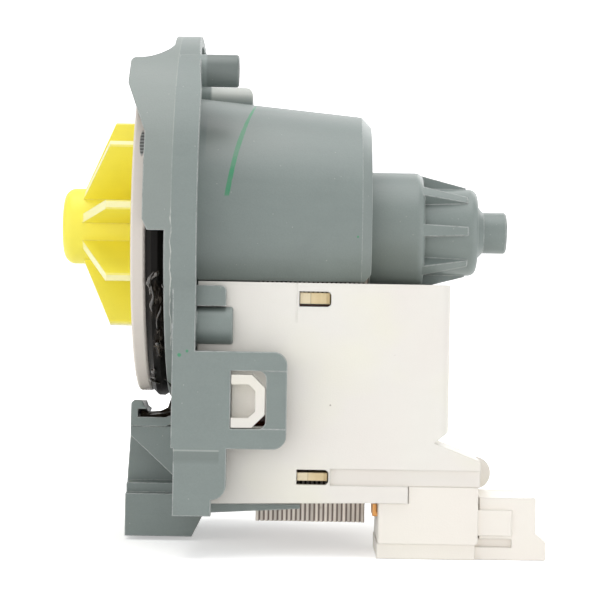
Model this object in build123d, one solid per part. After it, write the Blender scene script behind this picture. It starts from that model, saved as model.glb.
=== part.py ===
"""Washer drain pump: synchronous motor, bayonet flange and nine-blade impeller.

The rotor axis is the X axis and the impeller is at -X. The origin is on that axis,
in the plane of the flange's front face. +Z is up and the coils hang below the rotor.
The near side is -Y. An angle round the rotor axis starts at +Z and turns to the near side.
"""
import math
import os

from build123d import *

# Clearances, millimetres
overrun = 1.0
press_clearance = 0.05
slip_clearance = 0.15
shaft_clearance = 0.03
free_clearance = 0.35
edge_break = 0.3

# Flange
web_thickness = 2.0
rim_depth = 4.5
rim_front = 1.4
rim_wall = 1.9
rim_top_dip = 1.2
rim_dip_start = 25.0
collar_radius = 33.6
collar_height = 1.8
flange_width = 4.4
flange_radius = collar_radius + flange_width

# Shaft and its bushes
shaft_radius = 2.0
bearing_radius = 4.6
bearing_length = 6.0
front_mount_wall = 1.7
rear_mount_wall = 2.6
bearing_inset = 3.2
shaft_overhang = 1.0
pocket_gap = 0.6

# Rotor can and hood over the poles
can_bore = 13.5
can_wall = 1.3
can_depth = 36.2
can_end_wall = 0.8
hood_length = can_depth + can_end_wall
hood_rear_radius = 22.6
hood_taper = 3.4
hood_front_radius = hood_rear_radius + hood_taper
hood_bevel = 1.9
hood_wall = 1.8
hood_gap = 0.3
hood_corner_depth = 1.3
hood_corner_height = 1.6
hump_rise = 2.5
hump_radius = hood_front_radius + hump_rise
hump_rear = 13.4
hump_middle_angle = -15.0
hump_spread_angle = 32.0
hump_corner = 1.8
hump_side_corner = 2.4

# Rear bearing housing
bearing_pocket_radius = bearing_radius + rear_mount_wall
housing_wall = 4.5
housing_radius = bearing_pocket_radius + housing_wall
housing_corner = 1.6
housing_floor = 0.7
rear_bearing_start = can_depth + bearing_inset
shaft_rear = rear_bearing_start + bearing_length + shaft_overhang
bearing_pocket_depth = shaft_rear + pocket_gap
housing_rear = bearing_pocket_depth + housing_floor
rib_count = 8
rib_thickness = 2.5
rib_narrowing = 0.9
rib_inset = 0.2
rib_front_radius = housing_radius - rib_inset
rib_taper = 2.6
rib_rear_radius = rib_front_radius - rib_taper
rib_overhang = 8.5
rib_rear = housing_rear + rib_overhang
nose_step = 0.3
nose_radius = rib_rear_radius - nose_step
nose_overhang = 2.2
nose_rear = rib_rear + nose_overhang
nose_corner = 1.5
pin_radius = 4.1
neck_flare = 1.4
neck_radius = pin_radius + neck_flare
neck_length = 1.3
pin_length = 4.6
gate_mark_radius = 0.6
gate_mark_length = 0.35
gate_mark_height = 1.2

# Bosses on the back of the flange
boss_inset = 3.0
boss_circle_radius = flange_radius - boss_inset
boss_first_angle = 32.8
boss_step_angle = 90.0
screw_hole_radius = 1.6
upper_boss_wall = 1.5
lower_boss_wall = 2.1
upper_boss_radius = screw_hole_radius + upper_boss_wall
lower_boss_radius = screw_hole_radius + lower_boss_wall
boss_reach = 11.2
boss_edge = 0.5
screw_hole_floor = 1.2
tab_length = 5.4
tab_height = 3.7
tab_thickness = 1.7
tab_gap = 0.1
tab_corner = 1.0

# Bayonet lugs
plate_front = 8.0
lug_front_gap = 1.2
lug_reach = plate_front + lug_front_gap
lug_wall = 1.8
lug_lip_depth = 2.3
lug_lip_height = 1.7
lug_lip_gap = 0.9
lug_radius = collar_radius + lug_lip_gap + lug_lip_height + lug_wall
lug_root_depth = 0.6
lug_middle_angle = 50.0
lug_spread_angle = 100.0
ear_root_inset = 1.4
ear_root_top = flange_radius - ear_root_inset
ear_root_drop = 3.6
ear_root_middle = ear_root_top - ear_root_drop
ear_drop = 5.0
ear_top = ear_root_top - ear_drop
ear_corner = 1.0
ear_height = 5.6
ear_low = ear_top - ear_height
ear_taper = 9.5
ear_taper_end = ear_low - ear_taper
ear_root_reach = 1.0
ear_root_middle_reach = 3.2
skirt_reach = 5.5
skirt_bottom = 1.7
skirt_bevel_depth = 0.9
skirt_bevel_height = 2.0
hook_lip_height = 3.4
hook_lip_gap = 1.5
hook_radius = collar_radius + hook_lip_gap + hook_lip_height + lug_wall
hook_middle_angle = 177.0
hook_half_angle = 11.0
hook_wall = 1.4
hook_corner = 0.6
nib_land = 0.7
nib_neck = 1.1
nib_neck_drop = 1.1
nib_reach = 1.7
nib_drop = 1.8
hook_floor_rise = 1.1
hook_floor_bend = 2.4
gusset_thickness = 2.0
gusset_depth = 50.1
gusset_end_height = 1.8

# Apron below the flange, with the snap loops
apron_inset = 2.0
apron_half_width = flange_radius - apron_inset
apron_front = 0.3
apron_foot_step = 0.5
apron_foot_front = apron_front + apron_foot_step
apron_top = 14.5
apron_wall = 2.5
apron_bottom = 53.8
apron_foot_reach = 7.8
lobe_reach = 10.5
lobe_bottom = 50.8
lobe_corner = 2.7
loop_top = 23.6
loop_bottom = 41.4
loop_reach = 21.4
loop_corner = 2.5
loop_bar_setback = 0.15
window_front = 11.1
window_rear = 17.6
window_top = 27.1
window_bottom = 37.7
window_corner = 1.5
tongue_reach = 24.2
tongue_gap = 0.8
tongue_thickness = 0.8
tongue_root_thickness = 1.8
tongue_inner = 22.3
tongue_outer = 27.0

# Foot
foot_front = 10.3
foot_rear = 2.9
foot_top = 52.6
foot_height = 8.4
foot_bottom = foot_top + foot_height
foot_slant = 2.4
foot_slant_height = 4.8
pocket_count = 3
foot_near = 6.0
foot_far = 22.0
column_front = 10.1
column_lean = 0.5
column_top = 41.6
column_near = 2.0
column_far = 20.0
foot_wall = 2.0
foot_ledge_height = 1.9
foot_ledge_setback = 2.5

# Impeller
blade_count = 9
blade_first_angle = 0.0
impeller_radius = 20.7
blade_thickness = 1.75
blade_tip_front = 13.7
blade_root_front = 19.5
impeller_gap = 0.75
impeller_rear = plate_front + impeller_gap
hub_radius = 7.5
hub_front = 23.6
hub_corner = 2.2
hub_wall = 1.6
hub_bore_radius = hub_radius - hub_wall
hub_end_wall = 1.3
hub_socket_front = hub_front - hub_end_wall
hub_guide_length = 2.9
hub_bore_front = hub_socket_front - hub_guide_length
hub_key_angle = 70.0
dog_collar_wall = 0.7
hub_key_inner = shaft_radius + dog_collar_wall

# Coupling inside the hub
dog_angle = 80.0
dog_gap = 0.4
dog_front = hub_bore_front - dog_gap
bumper_angle = 14.0
coupling_play = 2.0
retainer_thickness = 1.6
dog_rear = impeller_rear + retainer_thickness + free_clearance

# Back plate, gasket and front bearing
plate_inset = 1.1
plate_radius = collar_radius - plate_inset
plate_thickness = 2.8
plate_corner = 0.5
plug_depth = 5.4
plug_wall = 2.2
plug_web = 0.8
mount_radius = bearing_radius + front_mount_wall
neck_wall = 2.1
neck_outer_radius = mount_radius + neck_wall
gasket_inset = 0.2
gasket_radius = collar_radius - gasket_inset
gasket_width = 5.5
gasket_lip = 1.1
gasket_corner = 0.8
ring_groove_depth = 1.0
ring_thickness = 1.3
ring_start = 1.6
front_bearing_start = 3.6
washer_inset = 0.4
washer_radius = bearing_radius - washer_inset
washer_thickness = 0.8

# Rotor
shaft_end_gap = 0.3
shaft_front = hub_socket_front - shaft_end_gap
shaft_chamfer = 0.3
rotor_gap = 0.9
magnet_radius = can_bore - rotor_gap
magnet_bore = 5.0
magnet_start = 15.4
magnet_end_gap = 0.4
magnet_length = can_depth - magnet_end_gap - magnet_start
hub_flange_radius = 9.5
hub_flange_thickness = 1.4
hub_boss_radius = 3.9
magnet_key_width = 2.0
magnet_key_height = 1.0

# Stator core
core_front = 15.7
core_length = 20.8
leg_inner = 7.5
leg_outer = 18.5
pole_clearance = 0.4
pole_bore = can_bore + can_wall + pole_clearance
pole_top = 12.0
pole_hood_gap = 0.6
pole_outer_radius = hood_rear_radius - hood_wall - pole_hood_gap
sheet_count = 24
sheet_share = 0.82
sheet_groove = 0.16
rivet_radius = 1.7
rivet_inset = 2.5
rivet_spacing = 12.5

# Bobbins and windings
bobbin_wall = 1.1
bobbin_clearance = 0.1
cover_top = 10.8
cover_wall = 1.6
bobbin_top_gap = 0.2
bobbin_top = cover_top + cover_wall + bobbin_top_gap
bobbin_top_flange = 2.1
bobbin_bottom = 47.5
bobbin_bottom_flange = 1.5
yoke_top = bobbin_bottom + bobbin_clearance
yoke_height = 8.7
core_bottom = yoke_top + yoke_height
rivet_height = core_bottom - rivet_inset
bobbin_flange_inner = 0.6
bobbin_side_overhang = 4.9
bobbin_flange_outer = leg_outer + bobbin_side_overhang
bobbin_flange_overhang = 6.4
bobbin_corner = 1.5
winding_build = 3.2
winding_side_build = 5.0
winding_corner = 2.6
snap_width = 5.6
snap_front = 23.5

# Coil cover
cover_front = 4.6
cover_rear = 51.6
cover_bottom = 51.4
cover_side_gap = 3.0
cover_half_width = apron_half_width - apron_wall - cover_side_gap
cover_corner = 3.6
cover_bevel_top = 38.1
cover_bevel = 2.8
extension_root_depth = 5.6
extension_root = cover_rear - extension_root_depth
extension_root_top = 39.4
extension_roof_top = 40.1
extension_roof_end = 43.4
extension_length = 5.9
extension_rear = cover_rear + extension_length
extension_near = cover_half_width
extension_far = 10.0
fin_length = 3.5
fin_reach = extension_rear + fin_length
fin_top = 43.9
fin_bottom = 50.1
fin_thickness = 1.6
fin_corner = 3.0
slab_rear = 44.1
connector_step_wall = 1.0
slab_drop = 0.6
slab_corner = 0.9
cover_window_front_gap = 0.1
cover_window_rear_gap = 0.2
cover_window_front = snap_front - cover_window_front_gap
cover_window_rear = snap_front + snap_width + cover_window_rear_gap
cover_window_corner = 0.8
upper_window_below = 0.5
upper_window_top = cover_top + cover_wall
upper_window_bottom = bobbin_top + bobbin_top_flange + upper_window_below
lower_window_above = 0.6
lower_window_below = 0.7
lower_window_top = bobbin_bottom - bobbin_bottom_flange - lower_window_above
lower_window_bottom = bobbin_bottom + lower_window_below
panel_gap = 0.3
panel_front = cover_window_rear + panel_gap
panel_above = 0.2
panel_below = 0.1
panel_top = lower_window_top - panel_above
panel_bottom = lower_window_bottom + panel_below
panel_depth = 0.9
catch_gap = 0.2
catch_front_gap = 0.1
catch_top_gap = 0.7
catch_bevel = 2.4
catch_proud = 0.1
catch_height = apron_half_width + catch_proud - cover_half_width
catch_rim = 1.8
catch_recess = 2.6
catch_recess_bevel = 1.2
mould_line_at = 22.8
mould_line_width = 0.25
mould_line_depth = 0.08
mould_line_length = 7.4

# Connector
connector_near_inset = 0.6
connector_far_overhang = 0.5
connector_near = extension_near - connector_near_inset
connector_far = extension_far - connector_far_overhang
block_front = 38.7
block_rear_inset = 0.3
block_rear = extension_rear - block_rear_inset
block_height = 7.55
block_edge = 0.4
block_bottom = cover_bottom + block_height
rail_inset = 0.5
rail_height = 2.8
rail_bottom = block_bottom + rail_height
rail_front_step = 0.2
rail_front = block_front - rail_front_step
rail_rear = block_rear - rail_inset
socket_inset = 1.4
socket_near = connector_near - socket_inset
socket_far = connector_far + socket_inset
socket_length = 10.8
socket_rear = block_rear + socket_length
socket_step_top = 1.2
socket_step_bottom = 1.1
socket_top = cover_bottom - socket_step_top
socket_bottom = block_bottom - socket_step_bottom
socket_wall = 1.3
latch_gap = 0.45
latch_recess = 0.7
latch_top = block_bottom + latch_gap
latch_overhang = 1.95
lip_rise = 0.9
lip_height = 1.8
lip_corner = 0.8
latch_rear = socket_rear + latch_overhang
pad_setback = 4.4
pad_rear = socket_rear - pad_setback
pad_top_inset = 2.25
pad_bottom_inset = 0.6
pad_top = socket_top + pad_top_inset
pad_bottom = socket_bottom - pad_bottom_inset
pad_proud = 0.6
tab_width = 4.0
tab_blade = 0.8
tab_setback = 5.1
tab_tip = socket_rear - tab_setback
tab_spacing = 5.6
tab_tip_bevel = 0.9
tab_tail_gap = 0.1
tab_tail = block_front - tab_tail_gap - tab_blade
tab_tail_rise = 2.0

# Small electrical parts
fuse_radius = 1.7
fuse_length = 9.0
fuse_height = 20.0


def at_angle(radius, angle):
    """The (y, z) place at a radius, with the angle from +Z towards the near side."""
    turn = math.radians(angle)
    return -radius * math.sin(turn), radius * math.cos(turn)


def rod(radius, start, end, y=0, z=0):
    """A cylinder along X between two stations."""
    shape = Cylinder(radius, end - start, align=(Align.CENTER, Align.CENTER, Align.MIN))
    return Pos(start, y, z) * Rot(0, 90, 0) * shape


def tube(outer, inner, start, end, y=0, z=0):
    """A sleeve along X between two stations."""
    return rod(outer, start, end, y, z) - rod(inner, start - overrun, end + overrun, y, z)


def block(x_range, y_range, z_range):
    """A box given by its limits along each axis."""
    low = [min(pair) for pair in (x_range, y_range, z_range)]
    high = [max(pair) for pair in (x_range, y_range, z_range)]
    size = [top - bottom for bottom, top in zip(low, high)]
    return Pos(*low) * Box(*size, align=(Align.MIN, Align.MIN, Align.MIN))


def turned(profile, centre=0, spread=360):
    """A profile of (x, radius) points turned about the X axis over an angle."""
    face = Plane.XZ * make_face(Polyline(*profile, close=True))
    return Rot(centre - spread / 2, 0, 0) * revolve(face, Axis.X, spread)


def side_plate(outline, near, far):
    """An outline of (x, z) points given a thickness between two y stations."""
    face = Plane.XZ * make_face(Polyline(*outline, close=True))
    return Pos(0, far, 0) * extrude(face, amount=far - near)


def both_sides(shape):
    """A shape and its mirror image across the plane y = 0."""
    return shape + mirror(shape, Plane.XZ)


def single(shape):
    """Take the largest solid where a boolean leaves a wrapper or crumbs."""
    solids = shape.solids()
    return max(solids, key=lambda solid: solid.volume)


# Motor housing


def flange_web():
    """The round plate with its straight-sided apron plate below."""
    disc = rod(flange_radius, 0, web_thickness)
    sides = (-apron_half_width, apron_half_width)
    upper = block((apron_front, apron_front + web_thickness), sides, (-loop_bottom, -apron_top))
    lower = block(
        (apron_foot_front, apron_foot_front + web_thickness),
        sides,
        (-apron_bottom, -loop_bottom),
    )
    return disc + upper + lower + rod(collar_radius, -collar_height, 0)


def flange_rim():
    """The rim round the upper half, shallower at the top, and the straight walls beside the coils."""
    ring = tube(flange_radius, flange_radius - rim_wall, -rim_front, rim_depth)
    ring -= block(
        (-rim_front - overrun, rim_depth + overrun),
        (-flange_radius - overrun, flange_radius + overrun),
        (-flange_radius - overrun, -loop_top),
    )
    ring -= side_plate(
        [
            (rim_depth, rim_dip_start),
            (rim_depth - rim_top_dip, flange_radius),
            (rim_depth - rim_top_dip, flange_radius + overrun),
            (rim_depth + overrun, flange_radius + overrun),
            (rim_depth + overrun, rim_dip_start),
        ],
        -flange_radius,
        flange_radius,
    )
    sides = (-apron_half_width, -apron_half_width + apron_wall)
    top = -math.sqrt(flange_radius**2 - apron_half_width**2)
    wall = block((apron_front, rim_depth), sides, (-loop_bottom, top))
    wall += block((apron_foot_front, rim_depth), sides, (-apron_bottom, -loop_bottom))
    return ring + both_sides(wall)


def apron_side():
    """The near wall of the apron with its rounded lobe and foot."""
    near = -apron_half_width
    far = near + apron_wall
    lobe = block((apron_foot_front, lobe_reach), (near, far), (-lobe_bottom, -loop_top))
    corner = lobe.edges().filter_by(Axis.Y).sort_by(Axis.X)[-2:].sort_by(Axis.Z)[0]
    lobe = fillet(corner, lobe_corner)
    foot = block((apron_foot_front, apron_foot_reach), (near, far), (-apron_bottom, -loop_top))
    return lobe + foot


def snap_loop():
    """The near loop that the coil cover's catch snaps into."""
    near = -apron_half_width
    far = near + apron_wall
    arm = block((apron_front, loop_reach), (near, far), (-loop_bottom, -loop_top))
    corners = arm.edges().filter_by(Axis.Y).sort_by(Axis.X)[-2:]
    arm = fillet(corners, loop_corner)
    window = block(
        (window_front, window_rear),
        (near - overrun, far + overrun),
        (-window_bottom, -window_top),
    )
    corners = window.edges().filter_by(Axis.Y).sort_by(Axis.X)[-2:]
    bar = block(
        (window_rear - window_corner, loop_reach + overrun),
        (near - overrun, near + loop_bar_setback),
        (-window_bottom, -window_top),
    )
    return arm - fillet(corners, window_corner) - bar


def bottom_tongue():
    """The rail that runs back under the coil cover beside the core."""
    top = -cover_bottom - tongue_gap
    return side_plate(
        [
            (apron_front, top),
            (apron_front, top - tongue_root_thickness),
            (apron_foot_reach, top - tongue_root_thickness),
            (tongue_reach, top - tongue_thickness),
            (tongue_reach, top),
        ],
        -tongue_outer,
        -tongue_inner,
    )


def rotor_can():
    """The closed cup that the magnet turns in, and the rear bearing's housing."""
    housing = rod(housing_radius, 0, housing_rear)
    housing = fillet(housing.edges().sort_by(Axis.X)[-1], housing_corner)
    return housing + rod(can_bore + can_wall, -collar_height, hood_length)


def can_cavity():
    """The space inside the can and the bearing pocket."""
    cavity = rod(can_bore, -collar_height - overrun, can_depth)
    return cavity + rod(bearing_pocket_radius, 0, bearing_pocket_depth)


def pole_room():
    """The space under the hood."""
    room_end = hood_length - hood_bevel
    return turned(
        [
            (web_thickness, 0),
            (web_thickness, hood_front_radius - hood_wall),
            (room_end, hood_rear_radius - hood_wall),
            (room_end, 0),
        ]
    )


def pole_hood():
    """The tapered hood over the poles, cut flat where the coil cover starts."""
    end_radius = hood_rear_radius - hood_bevel
    bevel_start = hood_length - hood_bevel
    outer = turned(
        [
            (0, 0),
            (0, hood_front_radius),
            (bevel_start, hood_rear_radius),
            (hood_length, end_radius),
            (hood_length, 0),
        ]
    )
    below = block(
        (web_thickness, hood_length + overrun),
        (-hood_front_radius - overrun, hood_front_radius + overrun),
        (-hood_front_radius - overrun, -cover_top + hood_gap),
    )
    corner = side_plate(
        [
            (hood_length - hood_corner_depth, -cover_top - overrun),
            (hood_length - hood_corner_depth, -cover_top + hood_gap),
            (hood_length, -cover_top + hood_gap + hood_corner_height),
            (hood_length + overrun, -cover_top + hood_gap + hood_corner_height),
            (hood_length + overrun, -cover_top - overrun),
        ],
        -hood_front_radius,
        hood_front_radius,
    )
    corner -= rod(can_bore + can_wall, 0, hood_length + overrun)
    room = sheet(leg_outline(-slip_clearance), bevel_start - overrun, hood_length)
    return outer - pole_room() - below - corner - room


def hood_hump():
    """The rounded saddle beyond the top of the hood, next to the flange."""
    profile = [
        (0, hood_rear_radius),
        (0, hump_radius),
        (hump_rear, hump_radius),
        (hump_rear, hood_rear_radius),
    ]
    saddle = turned(profile, hump_middle_angle, hump_spread_angle)
    corner = saddle.edges().filter_by(GeomType.CIRCLE).sort_by(SortBy.LENGTH)[-2:].sort_by(Axis.X)[-1]
    middle = (hood_rear_radius + hump_radius) / 2
    sides = [
        edge
        for edge in saddle.edges().filter_by(Axis.X)
        if math.hypot(edge.center().Y, edge.center().Z) > middle
    ]
    return fillet(corner, hump_corner) & fillet(sides, hump_side_corner)


def rear_ribs():
    """The ribbed core behind the bearing pocket, its nose, neck and end pin."""
    nose = rod(nose_radius, bearing_pocket_depth, nose_rear)
    core = fillet(nose.edges().sort_by(Axis.X)[-1], nose_corner)
    slope = turned(
        [
            (housing_rear - housing_corner, 0),
            (housing_rear - housing_corner, rib_front_radius),
            (rib_rear, rib_rear_radius),
            (rib_rear, 0),
        ]
    )
    rib_start = housing_rear - housing_corner
    half_front = rib_thickness / 2
    half_rear = half_front - rib_narrowing / 2
    plan = make_face(Polyline(
        (rib_start, -half_front), (rib_rear, -half_rear), (rib_rear, half_rear), (rib_start, half_front),
        close=True,
    ))
    rib = extrude(plan, amount=housing_radius)
    for index in range(rib_count):
        core += (Rot(index * 360 / rib_count, 0, 0) * rib) & slope
    neck_end = nose_rear + neck_length
    pin_end = neck_end + pin_length
    core += turned(
        [
            (nose_rear - overrun, 0),
            (nose_rear - overrun, neck_radius),
            (nose_rear, neck_radius),
            (neck_end, pin_radius),
            (neck_end, 0),
        ]
    )
    pin = rod(pin_radius, nose_rear, pin_end)
    core += chamfer(pin.edges().sort_by(Axis.X)[-1], edge_break)
    return core + rod(gate_mark_radius, nose_rear, pin_end + gate_mark_length, 0, gate_mark_height)


def boss_places():
    """The angle and radius of the three bosses: upper, lower and far."""
    upper = (boss_first_angle, upper_boss_radius)
    lower = (boss_first_angle + boss_step_angle, lower_boss_radius)
    far = (boss_first_angle - boss_step_angle, upper_boss_radius)
    return [upper, lower, far]


def screw_bosses():
    """The three bosses on the back of the web. The lower one is flat where it lies before the cover."""
    bosses = []
    for angle, radius in boss_places():
        boss = rod(radius, 0, boss_reach, *at_angle(boss_circle_radius, angle))
        bosses.append(fillet(boss.edges().sort_by(Axis.X)[-1], boss_edge))
    return bosses[0] + (bosses[1] - cover_room()) + bosses[2]


def cover_room():
    """The room beside the lower boss that the cover's near wall needs."""
    return block(
        (cover_front - slip_clearance, boss_reach + overrun),
        (-cover_half_width - slip_clearance, 0),
        (-cover_bottom, 0),
    )


def screw_holes():
    """The blind holes in the upper and far bosses. The lower one is solid."""
    upper, lower, far = boss_places()
    holes = [rod(screw_hole_radius, screw_hole_floor, boss_reach + overrun,
                 *at_angle(boss_circle_radius, angle)) for angle, radius in (upper, far)]
    return holes[0] + holes[1]


def boss_tab():
    """The flat tab above the lower boss, in front of the cover's near wall."""
    y, z = at_angle(boss_circle_radius, boss_first_angle + boss_step_angle)
    far = -cover_half_width - slip_clearance
    tab = block(
        (0, rim_depth + tab_length),
        (far - tab_thickness, far),
        (z + lower_boss_radius - tab_gap, z + lower_boss_radius + tab_height),
    )
    corner = tab.edges().filter_by(Axis.Y).sort_by(Axis.X)[-2:].sort_by(Axis.Z)[-1]
    return fillet(corner, tab_corner)


def lug_profile(radius, lip_height):
    """The section of a bayonet lug: a wall with a lip at its front end."""
    inner = radius - lug_wall
    lip_rear = -lug_reach + lug_lip_depth
    return [
        (lug_root_depth, radius),
        (-lug_reach, radius),
        (-lug_reach, inner - lip_height),
        (lip_rear, inner - lip_height),
        (lip_rear, inner),
        (lug_root_depth, inner),
    ]


def lug_side():
    """The near lug's outline seen from the side: ear, taper and skirt."""
    root = Spline(
        (-ear_root_reach, ear_root_top),
        (-ear_root_middle_reach, ear_root_middle),
        (-lug_reach + ear_corner, ear_top),
        tangents=((0, -1), (-1, 0)),
    )
    corner = RadiusArc(
        (-lug_reach + ear_corner, ear_top),
        (-lug_reach, ear_top - ear_corner),
        -ear_corner,
    )
    rest = Polyline(
        (-lug_reach, ear_top - ear_corner),
        (-lug_reach, ear_low),
        (-skirt_reach, ear_taper_end),
        (-skirt_reach, -skirt_bottom + skirt_bevel_height),
        (-skirt_reach + skirt_bevel_depth, -skirt_bottom),
        (lug_root_depth + overrun, -skirt_bottom),
        (lug_root_depth + overrun, ear_root_top),
        (-ear_root_reach, ear_root_top),
    )
    return make_face(root + corner + rest)


def bayonet_lug():
    """The near lug, cut from a quarter of a lipped ring."""
    quarter = turned(lug_profile(lug_radius, lug_lip_height), lug_middle_angle, lug_spread_angle)
    outline = extrude(Plane.XZ * lug_side(), amount=lug_radius + overrun)
    lip_front = -lug_reach - overrun
    lip_rear = -lug_reach + lug_lip_depth
    lip_end = side_plate(
        [(lip_front, ear_low), (lip_rear, ear_low), (lip_rear, -overrun), (lip_front, -overrun)],
        -lug_radius - overrun,
        0,
    )
    return (quarter & outline) - (lip_end & rod(lug_radius - lug_wall, lip_front, lip_rear))


def hook_profile():
    """The section of the bottom hook: a thin lip with a beak, and a floor that rises to the web."""
    inner = hook_radius - lug_wall
    wall_rear = -lug_reach + hook_wall
    top = inner - hook_lip_height
    return [
        (lug_root_depth, hook_radius - hook_floor_rise),
        (-hook_floor_bend, hook_radius),
        (-lug_reach, hook_radius),
        (-lug_reach, top + hook_corner),
        (-lug_reach + hook_corner, top),
        (wall_rear + nib_land, top),
        (wall_rear + nib_neck, top + nib_neck_drop),
        (wall_rear + nib_reach, top + nib_drop - edge_break),
        (wall_rear + nib_reach, top + nib_drop),
        (wall_rear, top + nib_drop),
        (wall_rear, inner),
        (-hook_floor_bend, inner),
        (lug_root_depth, inner - hook_floor_rise),
    ]


def bottom_hook():
    """The bayonet hook below the axis, with the gusset under its near end."""
    hook = turned(hook_profile(), hook_middle_angle, 2 * hook_half_angle)
    inner = flange_radius - rim_wall
    web_rear = apron_front + web_thickness
    web = turned(
        [(0, inner), (0, hook_radius), (web_rear, hook_radius), (web_rear, inner)],
        hook_middle_angle,
        2 * hook_half_angle,
    )
    end_y, end_z = at_angle(hook_radius - lug_wall, hook_middle_angle - hook_half_angle)
    gusset_top = end_z - lug_wall
    gusset = side_plate(
        [
            (-lug_reach, gusset_top),
            (-lug_reach, gusset_top - gusset_end_height),
            (apron_foot_front, -gusset_depth),
            (web_rear, -gusset_depth),
            (web_rear, gusset_top),
        ],
        end_y,
        end_y + gusset_thickness,
    )
    return hook + web + gusset


def foot():
    """The foot block under the flange with its column and lightening pockets."""
    pad = side_plate(
        [
            (-foot_front, -foot_top),
            (-foot_front, -foot_bottom),
            (foot_rear, -foot_bottom),
            (foot_rear + foot_slant, -foot_bottom + foot_slant_height),
            (foot_rear, -foot_top),
        ],
        -foot_near,
        foot_far,
    )
    ledge_top = -foot_top + foot_ledge_height
    column = side_plate(
        [
            (-column_front, -column_top),
            (-column_front - column_lean, ledge_top - edge_break),
            (apron_foot_front + web_thickness, ledge_top - edge_break),
            (apron_foot_front + web_thickness, -column_top),
        ],
        column_near,
        column_far,
    )
    ledge = block(
        (-foot_front, foot_rear),
        (-foot_near + foot_ledge_setback, foot_far),
        (-foot_top - edge_break, ledge_top),
    )
    body = pad + column + ledge
    pocket_width = (foot_near + foot_far - (pocket_count + 1) * foot_wall) / pocket_count
    for index in range(pocket_count):
        near = -foot_near + foot_wall + index * (pocket_width + foot_wall)
        body -= block(
            (-foot_front + foot_wall, foot_rear - foot_wall),
            (near, near + pocket_width),
            (-foot_bottom - overrun, -foot_top - foot_wall),
        )
    return body


def motor_housing():
    """The grey moulding that carries everything."""
    shape = flange_web() + flange_rim()
    shape += both_sides(apron_side() + snap_loop() + bottom_tongue())
    shape += pole_hood() + hood_hump()
    shape -= pole_room()
    shape += rotor_can() + rear_ribs() + screw_bosses() + boss_tab()
    lug = bayonet_lug()
    shape += lug + mirror(lug, Plane.XZ) + bottom_hook() + foot()
    return single(shape - can_cavity() - screw_holes() - plug_recess())


def plug_recess():
    """The groove in the can's mouth for the back plate's sealing ring."""
    return tube(can_bore + ring_groove_depth - press_clearance, can_bore - overrun,
                ring_start - ring_thickness, ring_start)


# Front closure


def back_plate():
    """The pale disc with its plug and the front bearing's neck."""
    rear = -plate_front + plate_thickness
    disc = fillet(rod(plate_radius, -plate_front, rear).edges(), plate_corner)
    plug_radius = can_bore - press_clearance
    disc += tube(plug_radius, plug_radius - plug_wall, rear - overrun, plug_depth)
    disc += rod(neck_outer_radius, rear - overrun, plug_depth)
    disc += block(
        (rear - overrun, plug_depth),
        (-plug_web / 2, plug_web / 2),
        (-plug_radius + plug_wall, plug_radius - plug_wall),
    )
    disc -= rod(mount_radius, -front_bearing_start, plug_depth + overrun)
    disc -= rod(shaft_radius + free_clearance, -plate_front - overrun, plug_depth)
    return single(disc)


def volute_gasket():
    """The rubber ring between the back plate and the flange collar."""
    front = -plate_front + plate_thickness
    rear = -collar_height
    inner = gasket_radius - gasket_width
    return turned(
        [
            (front, inner),
            (front, gasket_radius - gasket_lip),
            (front + gasket_lip, gasket_radius),
            (rear - gasket_lip, gasket_radius),
            (rear, gasket_radius - gasket_corner),
            (rear, inner + gasket_lip),
            (rear - gasket_lip, inner),
        ]
    )


def sealing_ring():
    """The round-section ring between the plug and the can."""
    plug_radius = can_bore - press_clearance
    return tube(can_bore + ring_groove_depth - press_clearance - slip_clearance,
                plug_radius, ring_start - ring_thickness, ring_start)


def bearing(start):
    """A sintered bush on the shaft."""
    return tube(bearing_radius, shaft_radius + shaft_clearance, start, start + bearing_length)


def front_bearing():
    """The bush behind the impeller."""
    return bearing(-front_bearing_start)


def rear_bearing():
    """The bush in the ribbed rear housing."""
    return bearing(rear_bearing_start)


def front_bearing_mount():
    """The rubber sleeve round the front bush."""
    rear = -front_bearing_start + bearing_length
    return tube(mount_radius, bearing_radius, -front_bearing_start, rear)


def rear_bearing_mount():
    """The rubber sleeve round the rear bush, filling its pocket."""
    rear = rear_bearing_start + bearing_length
    return tube(bearing_pocket_radius, bearing_radius, rear_bearing_start, rear)


# Rotor


def rotor_shaft():
    """The steel shaft from the impeller hub to the rear bush."""
    shaft = rod(shaft_radius, -shaft_front, shaft_rear)
    return chamfer(shaft.edges().filter_by(GeomType.CIRCLE), shaft_chamfer)


def magnet_end():
    """The rear face of the magnet."""
    return magnet_start + magnet_length


def magnet_key():
    """The rib that keeps the magnet from turning on its core."""
    return block(
        (magnet_start, magnet_end()),
        (-magnet_key_width / 2, magnet_key_width / 2),
        (0, magnet_bore + magnet_key_height),
    )


def rotor_magnet():
    """The ferrite ring, keyed to its core."""
    ring = rod(magnet_radius, magnet_start, magnet_end())
    ring = fillet(ring.edges().filter_by(GeomType.CIRCLE), edge_break)
    return single(ring - rod(magnet_bore, 0, hood_length) - magnet_key())


def front_washer_start():
    """The front face of the washer behind the front bush."""
    return -front_bearing_start + bearing_length + slip_clearance


def rear_washer_start():
    """The front face of the washer before the rear bush."""
    return rear_bearing_start - washer_thickness - slip_clearance


def rotor_hub():
    """The moulded core between the shaft and the magnet, with a boss towards each bush."""
    core = rod(magnet_bore, magnet_start, magnet_end()) + magnet_key()
    core += rod(hub_flange_radius, magnet_start - hub_flange_thickness, magnet_start)
    boss_front = front_washer_start() + washer_thickness + slip_clearance
    core += rod(hub_boss_radius, boss_front, rear_washer_start() - slip_clearance)
    return single(core - rod(shaft_radius, 0, housing_rear))


def thrust_washer(start):
    """A washer that takes the rotor's end thrust."""
    return tube(washer_radius, shaft_radius + shaft_clearance, start, start + washer_thickness)


def front_thrust_washer():
    """The washer behind the front bush."""
    return thrust_washer(front_washer_start())


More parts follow.
